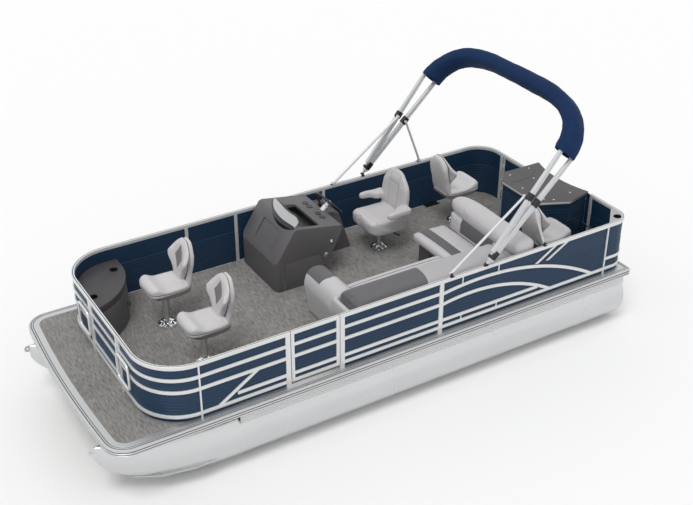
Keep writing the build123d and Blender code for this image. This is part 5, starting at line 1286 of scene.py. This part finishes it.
# a round eye on the pin of each main foot
for flank in (1, -1):
    pin = (atPlace(sunTop["mainFoot"][0]), flank * sunTop["legY"], sunTop["mainFoot"][1])
    sleeves.append(turned(pin, (0, 1, 0), [(0.002, -0.013), (sunTop["eye"], -0.013), (sunTop["eye"], 0.013), (0.002, 0.013)], 28))
newPiece("topSleeves", meshOf("topSleeves", sleeves), "black", bodyOf["top_bows"])

across, upward, share = (v[:, None] for v in archLine(boot["rows"]))
ends = np.abs(2 * share - 1)
slope = np.arctan2(np.gradient(upward[:, 0]), np.gradient(across[:, 0]))[:, None]
turn = np.linspace(0, 2 * np.pi, boot["cols"], endpoint=False)[None, :]
# section: a superellipse, wider at the ends where the legs go in, drawn tight at the very end
drawn = 1 - 0.06 * np.clip((ends - 0.985) / 0.015, 0, 1) ** 2
reach = (np.abs(np.cos(turn)) ** (2 / boot["bend"]) + np.abs(np.sin(turn)) ** (2 / boot["bend"])) ** (-boot["bend"] / 2)
folds = (0.0016 * np.sin(38 * share + 2.2 * np.sin(turn + 0.5)) + 0.001 * np.sin(91 * share - 3 * turn)
         + 0.0025 * np.sin(15 * share + 2 * turn + 1.3) + 0.0012 * np.sin(160 * share + 4 * np.cos(turn)) * ends)
radial = (boot["radial"] * drawn * reach + folds) * np.cos(turn)
thick = ((boot["thick"] + boot["flare"] * ends ** 8) * drawn * reach + folds) * np.sin(turn)
# the radial direction lies in the bundle's plane at right angles to the arch
sleeve = onTopPlane(across + radial * np.sin(slope), upward - radial * np.cos(slope), thick)
sleeve[..., 1] = across + radial * np.sin(slope)
bootMesh = meshOf("sunTopBoot", [gridSurface(sleeve, True, False, False)], 80.0)
bootPiece = newPiece("sunTopBoot", bootMesh, "boot", bodyOf["top_boot"], ("top_boot",))
wall = bootPiece.modifiers.new("wall", "SOLIDIFY")
wall.thickness, wall.offset = boot["wall"], -1
seamTurn = 2.2
seamLine = onTopPlane(across[:, 0], upward[:, 0], 0 * share[:, 0])
outward = np.argmin(np.abs(turn[0] - seamTurn))
seam = rod(sleeve[2:-2, outward] * 1.0, 0.004, 6, (sunTop["normal"][0], 0, sunTop["normal"][1]))
seamPiece = newPiece("bootSeam", meshOf("bootSeam", [seam]), "boot", bodyOf["top_boot"])
print("sun top dressed")

# Floor and light
stageSetup = {"floorSize": 60.0, "worldFill": 0.7, "sunStrength": 1.25, "sunSpread": 24.0}
half = stageSetup["floorSize"] / 2
floorMesh = bpy.data.meshes.new("paleFloor")
floorMesh.from_pydata([(-half, -half, 0), (half, -half, 0), (half, half, 0), (-half, half, 0)], [], [(0, 1, 2, 3)])
floor = bpy.data.objects.new("paleFloor", floorMesh)
bpy.context.scene.collection.objects.link(floor)
floorFinish = Finish("paleFloor", base_color=(0.93, 0.93, 0.93, 1), roughness=0.9, specular_ior_level=0.0)
floorMesh.materials.append(floorFinish.material)
world = bpy.data.worlds.new("studio")
bpy.context.scene.world = world
world.use_nodes = True
worldNodes, worldLinks = world.node_tree.nodes, world.node_tree.links
background = next(n for n in worldNodes if n.type == "BACKGROUND")
background.inputs["Color"].default_value = (1, 1, 1, 1)
rays = worldNodes.new("ShaderNodeLightPath")
seen = worldNodes.new("ShaderNodeMath")
seen.operation = "MAXIMUM"
worldLinks.new(rays.outputs["Is Camera Ray"], seen.inputs[0])
worldLinks.new(rays.outputs["Is Glossy Ray"], seen.inputs[1])
through = worldNodes.new("ShaderNodeMath")
through.operation = "MAXIMUM"
worldLinks.new(seen.outputs[0], through.inputs[0])
worldLinks.new(rays.outputs["Is Transmission Ray"], through.inputs[1])
level = worldNodes.new("ShaderNodeMapRange")
level.inputs["To Min"].default_value = stageSetup["worldFill"]
level.inputs["To Max"].default_value = 1.0
worldLinks.new(through.outputs[0], level.inputs["Value"])
worldLinks.new(level.outputs[0], background.inputs["Strength"])
sunData = bpy.data.lights.new("softSun", "SUN")
sunData.energy, sunData.angle = stageSetup["sunStrength"], math.radians(stageSetup["sunSpread"])
sun = bpy.data.objects.new("softSun", sunData)
bpy.context.scene.collection.objects.link(sun)
sun.rotation_mode = "QUATERNION"
sun.rotation_quaternion = Vector((-0.35, -0.3, -1.0)).to_track_quat("-Z", "Y")
